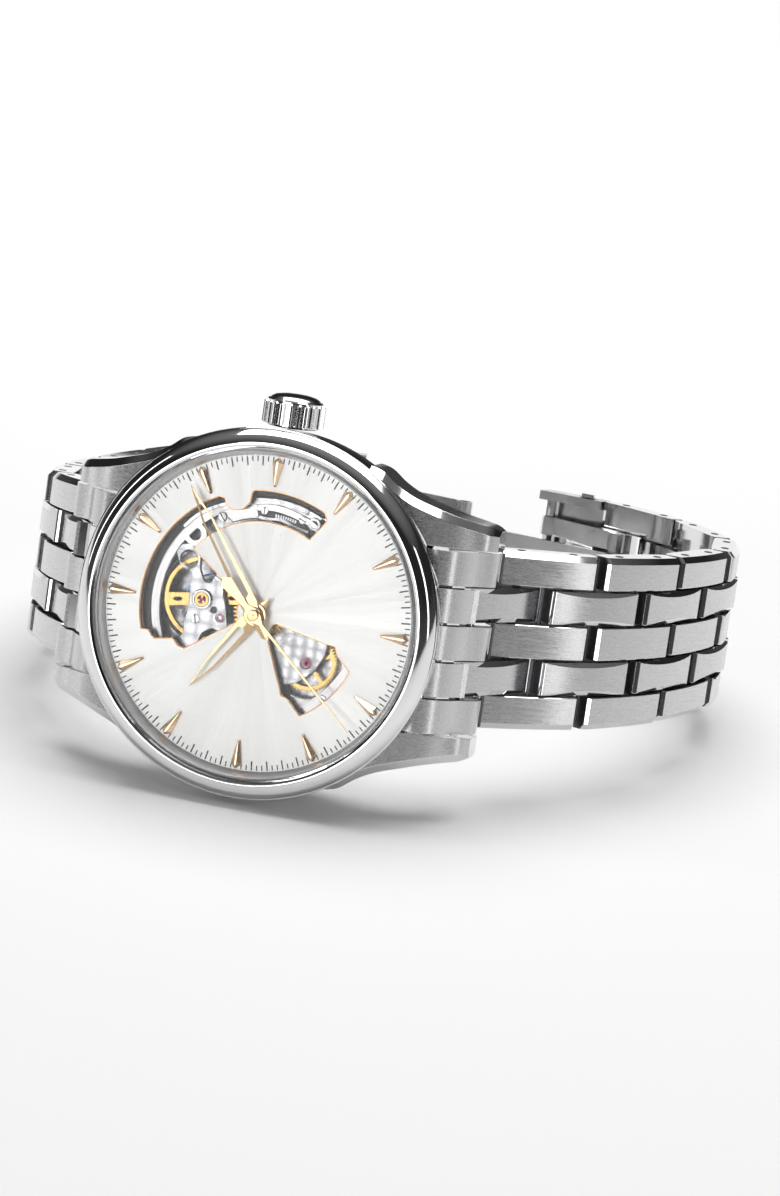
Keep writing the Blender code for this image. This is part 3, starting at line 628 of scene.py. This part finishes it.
def make_case():
    ring = lathe(((17.2, -6.6), (18.3, -6.6), (19.55, -5.1), (19.7, -4.8), (19.7, -0.35), (19.6, -0.12),
                  (18.05, -0.12), (18.05, -0.7), (17.2, -0.7)), 240)
    shapes = [(ring, 0)]
    for sx in (-1, 1):
        for sy in (-1, 1):
            shapes.append((lug(sx, sy), lug_finish))
    piece("case_middle", shapes, "case", [MIRROR, SATIN], bevel=0.05, smooth=24,
          stands_for=["case_body"])
    profile = ((18.0, 0.1), (19.98, 0.1), (20.0, 0.16), (20.0, 0.62), (19.93, 0.72), (19.86, 0.74),
               (19.84, 0.8), (19.62, 1.14), (19.36, 1.44), (19.06, 1.68), (18.76, 1.82), (18.44, 1.9),
               (18.36, 1.98), (18.24, 1.98), (18.16, 1.92), (17.98, 1.86))
    piece("bezel_ring", [(lathe(profile, 280), 0)], "case", [MIRROR], smooth=22,
          stands_for=["bezel"])
    glass = lathe(((0, 1.8), (17.9, 1.8), (17.9, 2.05), (17.6, 2.25), (12, 2.34), (0, 2.38)), 160)
    piece("crystal_disc", [(glass, 0)], "case", [CRYSTAL], smooth=20, stands_for=["crystal"])


FLUTES = 22
FLUTE_PROFILE = ((0.08, 2.86), (0.2, 3.2), (0.34, 3.34), (0.5, 3.36), (0.66, 3.34), (0.8, 3.2), (0.92, 2.86))
STEM = (0, -3.4)  # the stem's y and z


def make_crown():
    flutes = []
    for i in range(FLUTES):
        for share, r in FLUTE_PROFILE:
            flutes.append(polar(r, 360 / FLUTES * (i + share)))
    grip = along_x(prism(shifted(flutes, STEM), 20.32, 22.75, chamfer=0.18))
    collar = along_x(lathe(((0, 20.05), (2.6, 20.05), (2.95, 20.2), (2.95, 20.45), (0, 20.45)), 64, STEM))
    cap = along_x(lathe(((0, 22.6), (3.05, 22.6), (3.05, 22.86), (2.9, 23.05), (2.72, 23.08), (2.66, 23.16),
                         (2.2, 23.44), (1.2, 23.64), (0, 23.7)), 64, STEM))
    piece("crown_grip", [(grip, 0), (collar, 0), (cap, 0)], "crown", [MIRROR], bevel=0.03,
          smooth=26, stands_for=["crown"])


# ---------------------------------------------------------------- movement
BALANCE, THIRD, ESCAPE, BARREL = (0.35, 6.6), (-4.5, -5.75), (3.0, 0.6), (6.2, -5.4)
PLATE_LOW, PLATE_TOP = -1.75, -1.3


def screw(x, y, top, r=0.55, turn=30):
    """A polished screw head with its slot painted as a thin black bar of shade."""
    slot = moved(box((-r * 1.1, r * 1.1), (-r * 0.14, r * 0.14), (top - 0.02, top + 0.012)),
                 Matrix.Translation((x, y, 0)) @ Matrix.Rotation(math.radians(turn), 4, "Z"))
    head = lathe(((0, top - 0.3), (r, top - 0.3), (r, top - 0.05), (r - 0.07, top), (0, top)), 32, (x, y))
    return [(head, 0), (slot, 1)]


def jewel(x, y, top, r=0.45):
    """A ruby in a chamfered sink, with its oil cup."""
    stone = lathe(((0.1, top - 0.25), (r, top - 0.25), (r, top - 0.03), (r - 0.05, top), (r * 0.5, top),
                   (0.12, top - 0.1)), 32, (x, y))
    sink = lathe(((r, top - 0.25), (r + 0.14, top - 0.25), (r + 0.14, top + 0.005), (r + 0.03, top - 0.03),
                  (r, top - 0.05)), 32, (x, y))
    return [(stone, 2), (sink, 0)]


def gear(centre, r, teeth, depth, low, high, spokes, hub, rim, spoke=0.5, bore=0.3, turn=20):
    """A toothed wheel; with no spokes it is a solid disc."""
    holes = [circle(bore, 16, centre)] if bore else []
    for i in range(spokes):
        start, end = turn + 360 * i / spokes, turn + 360 * (i + 1) / spokes
        off = [math.degrees(math.asin(spoke / 2 / q)) for q in (hub, r - rim)]
        loop = arc(r - rim, start + off[1], end - off[1], 14) + arc(hub, end - off[0], start + off[0], 5)
        holes.append(shifted(rounded(loop, 0.25, 3), centre))
    return prism(shifted(toothed(r, teeth, depth), centre), low, high, holes)


def make_movement():
    """Fixed plates seen through the openings, then what stands on them."""
    sink = circle(5.3, 64, BALANCE)
    plate = prism(circle(12.95, 120), -4.6, -3.2, [sink, circle(0.35, 16)])
    piece("main_plate_pearled", [(plate, 0)], "case", [PERLAGE], bevel=0.06,
          stands_for=["main_plate"])
    holder = lathe(((13.35, -5.9), (16.9, -5.9), (16.9, -0.7), (13.9, -0.7), (13.9, -1.5), (13.35, -1.5)),
                   160)
    piece("movement_holder", [(holder, 0)], "case", [HOLDER], bevel=0.05,
          stands_for=["movement_ring"])
    hole = [polar(11.35, a) for a in range(-26, 61, 2)] + [polar(10.1, a) for a in range(64, 113, 3)]
    hole += [polar(12.4, a) for a in range(116, 186, 4)] + arc(3.85, 160, 290, 30, THIRD)
    hole += [polar(12.4, a) for a in range(250, 326, 4)]
    hole = rounded(hole, 0.4, 4, 24)
    rim = prism(circle(12.4, 160), PLATE_LOW, PLATE_TOP, [hole], chamfer=0.1)
    # A black ring of painted shade in the gap under the dial's edge, round the steel rim.
    shadow = lathe(((12.42, -2.4), (13.34, -2.4), (13.34, -1.52), (12.42, -1.6)), 160)
    piece("dial_side_plate", [(rim, 0), (shadow, 1)], "case", [RIM_STEEL, PAINTED_SHADE], smooth=24,
          stands_for=["dial_side_rim"])
    make_balance_side()
    make_fan_side()
    make_slot_side()


def make_balance_side():
    cock = [(-5.9, 9.0), (-4.9, 9.3), (-3.6, 8.35), (-2.3, 8.45), (-1.2, 8.2), (0.1, 8.15), (1.6, 8.3),
            (2.9, 8.2), (4.0, 9.9), (5.0, 10.3), (5.9, 9.8), (6.1, 8.6), (5.0, 7.5), (3.4, 7.3), (2.3, 6.7),
            (2.2, 6.0), (3.1, 5.7), (3.4, 5.0), (2.6, 4.5), (1.2, 4.4), (0.0, 3.95), (-2.0, 3.5), (-3.0, 3.9),
            (-2.6, 5.2), (-3.3, 6.2), (-4.6, 6.6), (-6.6, 7.2)]
    holes = [circle(0.98, 32, (4.35, 8.75)), circle(0.33, 16, (-0.62, 5.25))]
    cock = prism(rounded(cock, 0.5, 4, 10), PLATE_LOW, PLATE_TOP, holes, chamfer=0.08)
    shapes = [(cock, 3)]
    x, y = BALANCE[0], BALANCE[1] + 0.05
    setting = lathe(((0.2, -1.4), (1.12, -1.4), (1.12, -1.02), (1.0, -0.95), (0.86, -0.95), (0.8, -1.05),
                     (0.2, -1.05)), 48, (x, y))
    spring = prism(circle(0.78, 40, (x, y)), -1.05, -0.93, [circle(0.5, 24, (x, y))], chamfer=0.02)
    stone = lathe(((0, -1.2), (0.46, -1.2), (0.46, -1.0), (0.3, -0.93), (0, -0.9)), 32, (x, y))
    shapes += [(setting, 0), (spring, 4), (stone, 2)]
    for k in range(3):
        tongue = moved(box((-0.09, 0.09), (0.2, 0.6), (-0.95, -0.88)),
                       Matrix.Translation((x, y, 0)) @ Matrix.Rotation(math.radians(120 * k + 20), 4, "Z"))
        shapes.append((tongue, 4))
    for sx, sy, r, turn in ((-1.9, 7.15, 0.5, 15), (2.95, 5.2, 0.42, 60)):
        shapes += screw(sx, sy, -1.22, r, turn)
    shapes += jewel(-1.3, 4.4, -1.27, 0.42)
    # A black disc of painted shade in the cock's small hole.
    dark = lathe(((0, -1.34), (0.36, -1.34), (0.36, -1.29), (0, -1.29)), 20, (-0.62, 5.25))
    shapes.append((dark, 1))
    piece("balance_cock", shapes, "case", [MOVEMENT_STEEL, PAINTED_SHADE, RUBY, BRIDGE, GOLD_WHEEL],
          smooth=24, stands_for=["balance_bridge"])
    keep("hairspring", BLUED, 0.0)
    rim = prism(circle(4.65, 96, BALANCE), -2.5, -2.1, [circle(4.12, 96, BALANCE)], chamfer=0.06)
    arm = [(-0.75, -4.3), (-0.7, -2.0), (-0.62, -0.6), (-0.62, 0.6), (-0.7, 2.0), (-0.75, 4.3), (0.75, 4.3),
           (0.7, 2.0), (0.62, 0.6), (0.62, -0.6), (0.7, -2.0), (0.75, -4.3)]
    slots = [[(x * 0.2, y * 0.5 + s * 3.1) for x, y in circle(1.0, 20)] for s in (-1, 1)]
    arm = moved(prism(arm, -2.48, -2.12, slots, chamfer=0.04),
                Matrix.Translation((*BALANCE, 0)) @ Matrix.Rotation(math.radians(10), 4, "Z"))
    staff = lathe(((0, -3.0), (0.55, -3.0), (0.55, -2.0), (0.3, -1.9), (0.13, -1.5), (0, -1.5)), 32, BALANCE)
    weights = []
    for a in (35, 80, 125, 215, 260, 305):
        weights.append((lathe(((0, -2.6), (0.26, -2.6), (0.26, -2.05), (0.2, -2.0), (0, -2.0)), 20,
                              shifted([polar(4.38, a)], BALANCE)[0]), 0))
    piece("balance_wheel_gilt", [(rim, 0), (arm, 0), (staff, 1), *weights], "balance", [GOLD_WHEEL, MIRROR],
          smooth=30, stands_for=["balance_wheel"])
    hour = gear((0, 0), 2.95, 40, 0.42, -1.15, -0.85, 0, 0.8, 0.75, bore=0.86)
    pipe = lathe(((0.62, -1.15), (0.86, -1.15), (0.86, 0.93), (0.62, 0.93)), 48)
    bevel_ring = lathe(((0.86, -0.86), (2.2, -0.86), (2.1, -0.78), (0.86, -0.78)), 64)
    piece("hour_wheel_gilt", [(hour, 0), (pipe, 0), (bevel_ring, 0)], "hour_train", [GOLD_WHEEL],
          smooth=30, stands_for=["hour_wheel"])
    keep("cannon_pinion", MIRROR, 0.0)
    wheel = gear(ESCAPE, 1.6, 15, 0.42, -2.95, -2.7, 4, 0.45, 0.62, 0.22, 0)
    piece("escape_wheel_steel", [(wheel, 0)], "escape_wheel", [MIRROR],
          stands_for=["escape_wheel"])
    keep("pallet_fork", MIRROR, 0.02)


def make_fan_side():
    train = [(-7.6, -2.9), (-6.7, -5.2), (-5.2, -6.8), (-3.4, -7.7), (-1.2, -8.0), (0.8, -7.0), (1.2, -2.4),
             (-1.0, -1.3), (-3.4, -1.6)]
    bridge = prism(rounded(train, 0.6, 5), PLATE_LOW, PLATE_TOP, [circle(0.3, 20, THIRD)], chamfer=0.07)
    shapes = [(bridge, 3)]
    shapes += jewel(THIRD[0], THIRD[1], -1.26, 0.55)
    outer = arc(11.9, 192, 240, 16) + arc(10.7, 240, 192, 14)
    shapes.append((prism(rounded(outer, 0.3), PLATE_LOW, PLATE_TOP + 0.02, chamfer=0.06), 4))
    for x, y in ((-8.0, -8.1), (-3.5, -10.75)):
        shapes += screw(x, y, -1.18, 0.42, 70)
    piece("train_bridge_pearled", shapes, "case", [MOVEMENT_STEEL, PAINTED_SHADE, RUBY, PERLAGE_FINE, RIM_STEEL],
          smooth=24, stands_for=["train_bridge"])
    wheel = gear(THIRD, 3.25, 56, 0.3, -2.4, -2.1, 5, 0.8, 0.62, 0.42, 0, 12)
    hub = lathe(((0, -2.9), (0.45, -2.9), (0.45, -1.95), (0.2, -1.9), (0, -1.9)), 24, THIRD)
    piece("third_wheel_gilt", [(wheel, 0), (hub, 1)], "third_wheel", [GOLD_WHEEL, MIRROR],
          stands_for=["third_wheel"])
    drum = gear(BARREL, 4.6, 72, 0.24, -2.9, -2.1, 0, 1.0, 1.0, bore=0)
    lid = lathe(((0, -2.12), (3.7, -2.12), (3.6, -2.04), (1.2, -2.04), (1.0, -1.98), (0, -1.98)), 64, BARREL)
    piece("barrel_gilt", [(drum, 0), (lid, 0)], "barrel", [GOLD_WHEEL],
          stands_for=["mainspring_barrel"])


def make_slot_side():
    """The calendar-side springs and levers seen in the long slot."""
    shapes = []
    coil = prism(circle(1.35, 40, (7.15, 8.45)), -1.7, -1.32, [circle(0.62, 24, (7.15, 8.45))], chamfer=0.1)
    shapes.append((coil, 0))
    lever = spline([(7.6, 9.6), (8.9, 8.5), (10.0, 7.0), (10.75, 5.4), (11.3, 3.9)], 5)
    side = [(x + 0.42 * x / 12, y + 0.42 * y / 12) for x, y in lever]
    shapes.append((prism(lever + side[::-1], -1.5, -1.12, chamfer=0.06), 0))
    arm = spline([(11.5, 1.9), (11.75, 0.2), (11.5, -1.8), (10.9, -3.8), (10.2, -5.1)], 5)
    side = [(x - 0.75, y + 0.05) for x, y in arm]
    shapes.append((prism(arm + side[::-1], -1.45, -1.15, chamfer=0.06), 0))
    bridge = arc(12.4, 88, 108, 8) + arc(11.75, 108, 88, 8)
    shapes.append((prism(bridge, -1.3, -1.05, chamfer=0.05), 3))
    # A black sheet of painted shade behind the levers in the long slot.
    shade_sheet = arc(11.6, 80, 117, 20) + arc(9.9, 117, 80, 20)
    shapes.append((prism(shade_sheet, -1.36, -1.27), 1))
    finger = spline([(10.35, 1.7), (10.3, 0.5), (10.45, -0.7), (10.1, -1.9), (9.75, -3.0), (9.55, -4.0)], 5)
    side = [(x - 0.42, y) for x, y in finger]
    shapes.append((prism(finger + side[::-1], -1.4, -1.14, chamfer=0.06), 3))
    hook = prism(circle(0.72, 32, (10.35, -4.55)), -1.4, -1.1, [circle(0.36, 20, (10.35, -4.55))],
                 chamfer=0.06)
    shapes.append((hook, 3))
    for k in range(9):
        a = 91 + 1.5 * k
        tooth = [polar(10.75, a), polar(10.75, a + 0.7), polar(10.4, a + 0.55), polar(10.4, a + 0.15)]
        shapes.append((prism(tooth, -1.35, -1.08), 0))
    for x, y, r, turn in ((9.5, 5.65, 0.5, 40), (10.9, 1.1, 0.42, 0), (10.6, -3.2, 0.42, 70)):
        shapes += screw(x, y, -1.08, r, turn)
    piece("slot_levers", shapes, "case", [MOVEMENT_STEEL, PAINTED_SHADE, RUBY, BRIDGE], smooth=24)


# ---------------------------------------------------------------- back of the watch
def make_back():
    ring = lathe(((13.4, -8.3), (13.4, -6.9), (17.2, -6.9), (17.2, -7.55), (17.05, -7.75), (16.45, -8.25),
                  (16.3, -8.3), (13.7, -8.32)), 200)
    shapes = [(ring, lambda c, n: 1 if n.z < -0.9 else 0)]
    # Black squares of painted shade where the notches in the case back are.
    for i in range(6):
        x, y = polar(15.3, 60 * i)
        square = [(x - 0.55, y - 0.55), (x + 0.55, y - 0.55), (x + 0.55, y + 0.55), (x - 0.55, y + 0.55)]
        notch = prism(rounded(square, 0.5), -8.335, -8.3)
        shapes.append((notch, 2))
    piece("case_back_ring", shapes, "case", [MIRROR, TURNED, PAINTED_SHADE], bevel=0.04, smooth=22,
          stands_for=["case_back"])
    glass = lathe(((0, -8.22), (12.8, -8.2), (13.1, -8.05), (13.1, -7.1), (0, -7.1)), 120)
    piece("back_crystal_disc", [(glass, 0)], "case", [CRYSTAL], smooth=20,
          stands_for=["back_crystal"])
    web = [polar(12.2, a) for a in range(182, 359, 4)] + [polar(1.9, a) for a in (350, 310, 270, 230, 190)]
    windows = []
    for a in (200, 236, 272, 308):
        window = [(8.2, a), (8.2, a + 12), (8.2, a + 24), (3.4, a + 18), (3.4, a + 6)]
        windows.append(rounded([polar(*corner) for corner in window], 0.5, 4))
    arms = prism(rounded(web, 0.6), -6.0, -5.72, windows, chamfer=0.05)
    weight = prism(rounded([polar(12.4, a) for a in range(184, 357, 3)]
                           + [polar(9.2, a) for a in range(356, 183, -3)], 0.4), -6.7, -5.75, chamfer=0.08)
    hub = lathe(((0, -6.55), (0.9, -6.55), (1.1, -6.4), (2.1, -6.35), (2.2, -6.2), (2.2, -5.72), (0, -5.72)),
                64)
    piece("rotor_striped", [(arms, 0), (weight, 0), (hub, 1)], "rotor", [STRIPED, MIRROR],
          bevel=0.04, smooth=24, stands_for=["rotor"])
    bridge = prism([polar(12.6, a) for a in range(200, 521, 4)], -5.4, -4.82, chamfer=0.08)
    shapes = [(bridge, 0)]
    for a, r in ((215, 11.2), (335, 11.2), (90, 11.4), (20, 7.0), (140, 6.4)):
        x, y = polar(r, a)
        head = lathe(((0, -5.75), (0.5, -5.75), (0.6, -5.68), (0.6, -5.35), (0, -5.35)), 32, (x, y))
        shapes.append((head, 1))
    for a, r in ((60, 5.0), (170, 9.0), (118, 9.6)):
        x, y = polar(r, a)
        shapes.append((lathe(((0, -5.42), (0.5, -5.44), (0.5, -5.3), (0, -5.3)), 28, (x, y)), 2))
    piece("automatic_bridge", shapes, "case", [PERLAGE, BLUED, RUBY], bevel=0.03, smooth=24,
          stands_for=["rotor_bridge"])
    keep("winding_stem", MIRROR, 0.02)


# ---------------------------------------------------------------- bracelet
PITCH, ROW, ROW_GAP = 6.0, 3.72, 0.3
WIDTH_AT_LUGS, WIDTH_AT_CLASP = 19.8, 16.5
STRAND = 12 * PITCH
END_R, SIDE_PLAY, SAG = 2.6, 3.4, 0.7
PIN_R, PIN_REACH, BAR_R, BAR_HEIGHT = 0.45, 9.94, 0.25, 0.42
OUTER_FACET, INNER_FACET = 0.68, 0.5
LINK_HALF, BRUSHED_REACH, GAP_REACH = 5.34, 5.3, 7.5
POLISHED, SATINED, IN_SHADOW = 0, 1, 2  # places in a link's list of finishes
ROW_EDGES = [(-WIDTH_AT_LUGS / 2 + k * (ROW + ROW_GAP), -WIDTH_AT_LUGS / 2 + k * (ROW + ROW_GAP) + ROW)
             for k in range(5)]


def hinge(strand, k):
    return Vector(JOINTS[f"{strand}_hinge_{k:02d}"]["pos_m"])


def link_axes(strand, start, end):
    """x across towards the crown on the twelve side and away from it on the six side, y along, z outward."""
    across = TO_CROWN if strand == "twelve" else -TO_CROWN
    along = (end - start) - (end - start).dot(across) * across
    along.normalize()
    return axes(across, along, across.cross(along), start)


def drift(strand, travelled):
    """How far the play of the hinges lets a strand stray, in link axes."""
    share = min(max(travelled / STRAND, 0), 1)
    if strand == "six":
        return -SIDE_PLAY * share
    return SIDE_PLAY * share ** 2.5 - SAG * math.sin(math.pi * share)


def tapered(shape, travelled, strand):
    """Narrows and shears a shape drawn at full width by how far down the strand it lies."""
    points = []
    for x, s, n in shape[0]:
        share = min(max((travelled + s) / STRAND, 0), 1)
        aside = drift(strand, travelled + s) - drift(strand, travelled)
        points.append((x * (1 - (1 - WIDTH_AT_CLASP / WIDTH_AT_LUGS) * share) + aside, s, n))
    return points, shape[1]


def row_block(x0, x1, arched, left, right):
    """One block of a link. left and right are the widths of its polished side facets."""
    sections = []
    ends = [(-END_R, 0.42, -0.75), (-2.52, 0.24, -1.0), (-2.34, 0.0, -1.25), (-1.8, 0.0, -1.45)]
    stations = ends + [(s, 0.0, -1.5) for s in (-0.5, 0.6, 1.8, 3.0, 4.2, 5.4, 6.5)]
    stations += [(PITCH - s, drop, low) for s, drop, low in reversed(ends)]
    for s, drop, low in stations:
        share = max(0.0, 1 - ((s - PITCH / 2) / LINK_HALF) ** 2)
        top = (1.36 + 0.48 * share if arched else 1.34 + 0.36 * share) - drop
        width = [w * share ** 0.8 + 0.05 if arched else w for w in (left, right)]
        fall = [0.72 * w if arched else 0.8 * w for w in width]
        loop = ((x0, low), (x0, top - fall[0]), (x0 + width[0], top), (x1 - width[1], top),
                (x1, top - fall[1]), (x1, low))
        sections.append([(x, s, n) for x, n in loop])
    return loft(sections)


def link_finish(centre, normal):
    """Painted shade on the faces in the gaps between blocks, brushed on top, polished elsewhere."""
    if abs(normal.y) > 0.97 or abs(normal.x) > 0.9 and abs(centre.x) < GAP_REACH:
        return IN_SHADOW
    return SATINED if normal.z > 0.955 and abs(centre.y - PITCH / 2) < BRUSHED_REACH else POLISHED


def rod(s, n, r, reach, steps=24):
    """A rod across the strand, at s along it and n outward."""
    return along_x(prism([(s + x, n + y) for x, y in circle(r, steps)], -reach, reach, chamfer=0.05))


def make_link(strand, k):
    kind, number = ("outer", (k + 1) // 2) if k % 2 else ("inner", k // 2 + 1)
    travelled = PITCH * k
    if kind == "outer":
        rows = [(ROW_EDGES[0], False, OUTER_FACET, 0.08), (ROW_EDGES[2], False, 0.08, 0.08),
                (ROW_EDGES[4], False, 0.08, OUTER_FACET)]
        rods = [rod(0, 0, PIN_R, PIN_REACH), rod(PITCH, 0, PIN_R, PIN_REACH),
                rod(PITCH / 2, BAR_HEIGHT, BAR_R, 6.5)]
    else:
        rows = [(ROW_EDGES[1], True, INNER_FACET, INNER_FACET),
                (ROW_EDGES[3], True, INNER_FACET, INNER_FACET)]
        rods = [rod(PITCH / 2, BAR_HEIGHT, BAR_R, 9.6)]
    shapes = [(tapered(row_block(*edges, arched, left, right), travelled, strand), link_finish)
              for edges, arched, left, right in rows]
    # The pins and bars take the darkened steel of painted shade.
    shapes += [(tapered(r, travelled, strand), IN_SHADOW) for r in rods]
    name = f"{strand}_{kind}_link_{number}"
    place = link_axes(strand, hinge(strand, k + 1), hinge(strand, k + 2))
    piece(f"{strand}_{kind}_block_{number}", shapes, name, [MIRROR, SATIN, GAP_SHADE_STEEL],
          at=place, bevel=0.05, smooth=14, stands_for=[name])


def make_end_link(strand):
    """The piece between the lugs: five brushed bands that meet the first links."""
    side = -1 if strand == "six" else 1
    pin = (WATCH.inverted() @ hinge(strand, 1)) / MM
    y, z = abs(pin.y), pin.z
    brow = spline([(15.5, -1.72), (17.2, -1.76), (18.7, -1.95), (20.0, -2.7), (21.1, -3.95), (21.95, -5.5)],
                  4)
    knuckle = [(y + 2.4 * math.cos(math.radians(a)), z + 2.4 * math.sin(math.radians(a)))
               for a in range(48, -151, -11)]
    band = brow + knuckle + [(18.2, -7.2), (15.5, -5.5)]
    room = [(y + 2.8 * math.cos(math.radians(a)), z + 2.8 * math.sin(math.radians(a)))
            for a in range(66, 131, 8)]
    short = [p for p in brow if math.dist(p, (y, z)) > 2.9] + room + [(17.6, -6.6), (15.5, -5.5)]
    shapes = []
    for k, (x0, x1) in enumerate(ROW_EDGES):
        outline = band if k % 2 == 0 else short
        solid = prism([(side * a, b) for a, b in outline], x0 + 0.02, x1 - 0.02)
        shapes.append((along_x(solid), end_link_finish))
    core = [(15.5, -2.2), (18.5, -2.4), (20.0, -3.3), (21.0, -4.8), (20.2, -6.0), (17.6, -6.3), (15.5, -5.3)]
    shapes.append((along_x(prism([(side * a, b) for a, b in core], -9.7, 9.7)), POLISHED))
    pin_rod = along_x(prism(shifted(circle(PIN_R, 24), (side * y, z)), -9.92, 9.92))
    shapes.append((pin_rod, POLISHED))
    piece(f"{strand}_end_link_bands", shapes, "case", [MIRROR, SATIN], bevel=0.06, smooth=24,
          stands_for=[f"{strand}_end_link"])


def end_link_finish(centre, normal):
    """Brushed where it faces out, polished elsewhere."""
    return SATINED if normal.z > 0.3 and abs(normal.x) < 0.2 else POLISHED


# ---------------------------------------------------------------- clasp
def make_clasp():
    for node in ("six_end_frame", "twelve_end_frame", "six_blade", "twelve_blade", "clasp_base_plate"):
        keep(node, CLASP_STEEL, 0.06, 30)
    for node in ("upper_push_button", "lower_push_button"):
        keep(node, MIRROR, 0.08, 30)


# ---------------------------------------------------------------- stage, lights and camera
def plain(name, colour, roughness):
    g = Graph(name, colour, 0.0, roughness)
    cloud = g.noise(g.mm, 0.004, 2.0)
    g.set("Base Color", g.tint(cloud, tuple(c * 0.995 for c in colour), colour))
    return g.material


def make_floor():
    low, half = -0.00002, 4.0
    data = bpy.data.meshes.new("floor")
    data.from_pydata([(-half, -half, low), (half, -half, low), (half, half, low), (-half, half, low)], [],
                     [(0, 1, 2, 3)])
    data.materials.append(plain("pale_floor", (0.93, 0.93, 0.93), 0.9))
    floor = bpy.data.objects.new("floor", data)
    bpy.context.scene.collection.objects.link(floor)


def softbox(name, place, target, size, watts, spread):
    data = bpy.data.lights.new(name, "AREA")
    data.shape, data.size, data.size_y = "RECTANGLE", *size
    data.energy, data.spread = watts, math.radians(spread)
    light = bpy.data.objects.new(name, data)
    bpy.context.scene.collection.objects.link(light)
    light.location = place
    light.rotation_euler = (Vector(target) - Vector(place)).to_track_quat("-Z", "Y").to_euler()


def make_lights():
    softbox("overhead", (0.0, 0.4, 1.3), (0, 0.3, 0), (1.5, 1.0), 10.5, 120)
    softbox("left", (-1.1, -0.25, 0.4), (0, 0, 0.02), (0.12, 0.8), 0.3, 90)
    softbox("right", (1.1, -0.55, 0.4), (0, 0, 0.02), (0.2, 0.8), 0.4, 90)
    softbox("front", (-0.35, -1.3, 0.28), (0, 0, 0.02), (0.6, 0.5), 1.14, 100)
    world = bpy.data.worlds.new("studio")
    bpy.context.scene.world = world
    world.use_nodes = True
    tree = world.node_tree
    source = tree.nodes.new("ShaderNodeTexCoord")
    split = tree.nodes.new("ShaderNodeSeparateXYZ")
    ramp = tree.nodes.new("ShaderNodeValToRGB")
    tree.links.new(source.outputs["Generated"], split.inputs[0])
    tree.links.new(split.outputs["Z"], ramp.inputs["Fac"])
    tree.links.new(ramp.outputs["Color"], tree.nodes["Background"].inputs["Color"])
    stops = ramp.color_ramp.elements
    for position, grey in ((0.0, 0.06), (0.12, 0.05), (0.25, 0.02), (0.5, 0.02), (0.75, 0.15), (1.0, 0.25)):
        if position in (0.0, 1.0):
            stop = stops[0 if position == 0.0 else len(stops) - 1]
        else:
            stop = stops.new(position)
        stop.color = (grey, grey, grey, 1)
    tree.nodes["Background"].inputs["Strength"].default_value = 1.0
    bpy.context.scene.view_settings.view_transform = "Standard"


CAMERA_AT, CAMERA_TURN = (59.28, -119.39, 430.04), (-5.024, 14.618, -81.547)


def make_camera():
    data = bpy.data.cameras.new("camera")
    data.lens, data.sensor_width = 126.8, 36.0
    data.clip_start = 0.01
    camera = bpy.data.objects.new("camera", data)
    bpy.context.scene.collection.objects.link(camera)
    turn = Euler([math.radians(a) for a in CAMERA_TURN]).to_matrix().to_4x4()
    camera.matrix_world = WATCH @ Matrix.Translation(Vector(CAMERA_AT) * MM) @ turn
    bpy.context.scene.camera = camera


make_camera()
make_lights()
make_floor()
make_case()
make_crown()
make_dial()
make_hands()
make_movement()
make_back()
for strand_name in ("six", "twelve"):
    make_end_link(strand_name)
    for link_number in range(12):
        make_link(strand_name, link_number)
make_clasp()
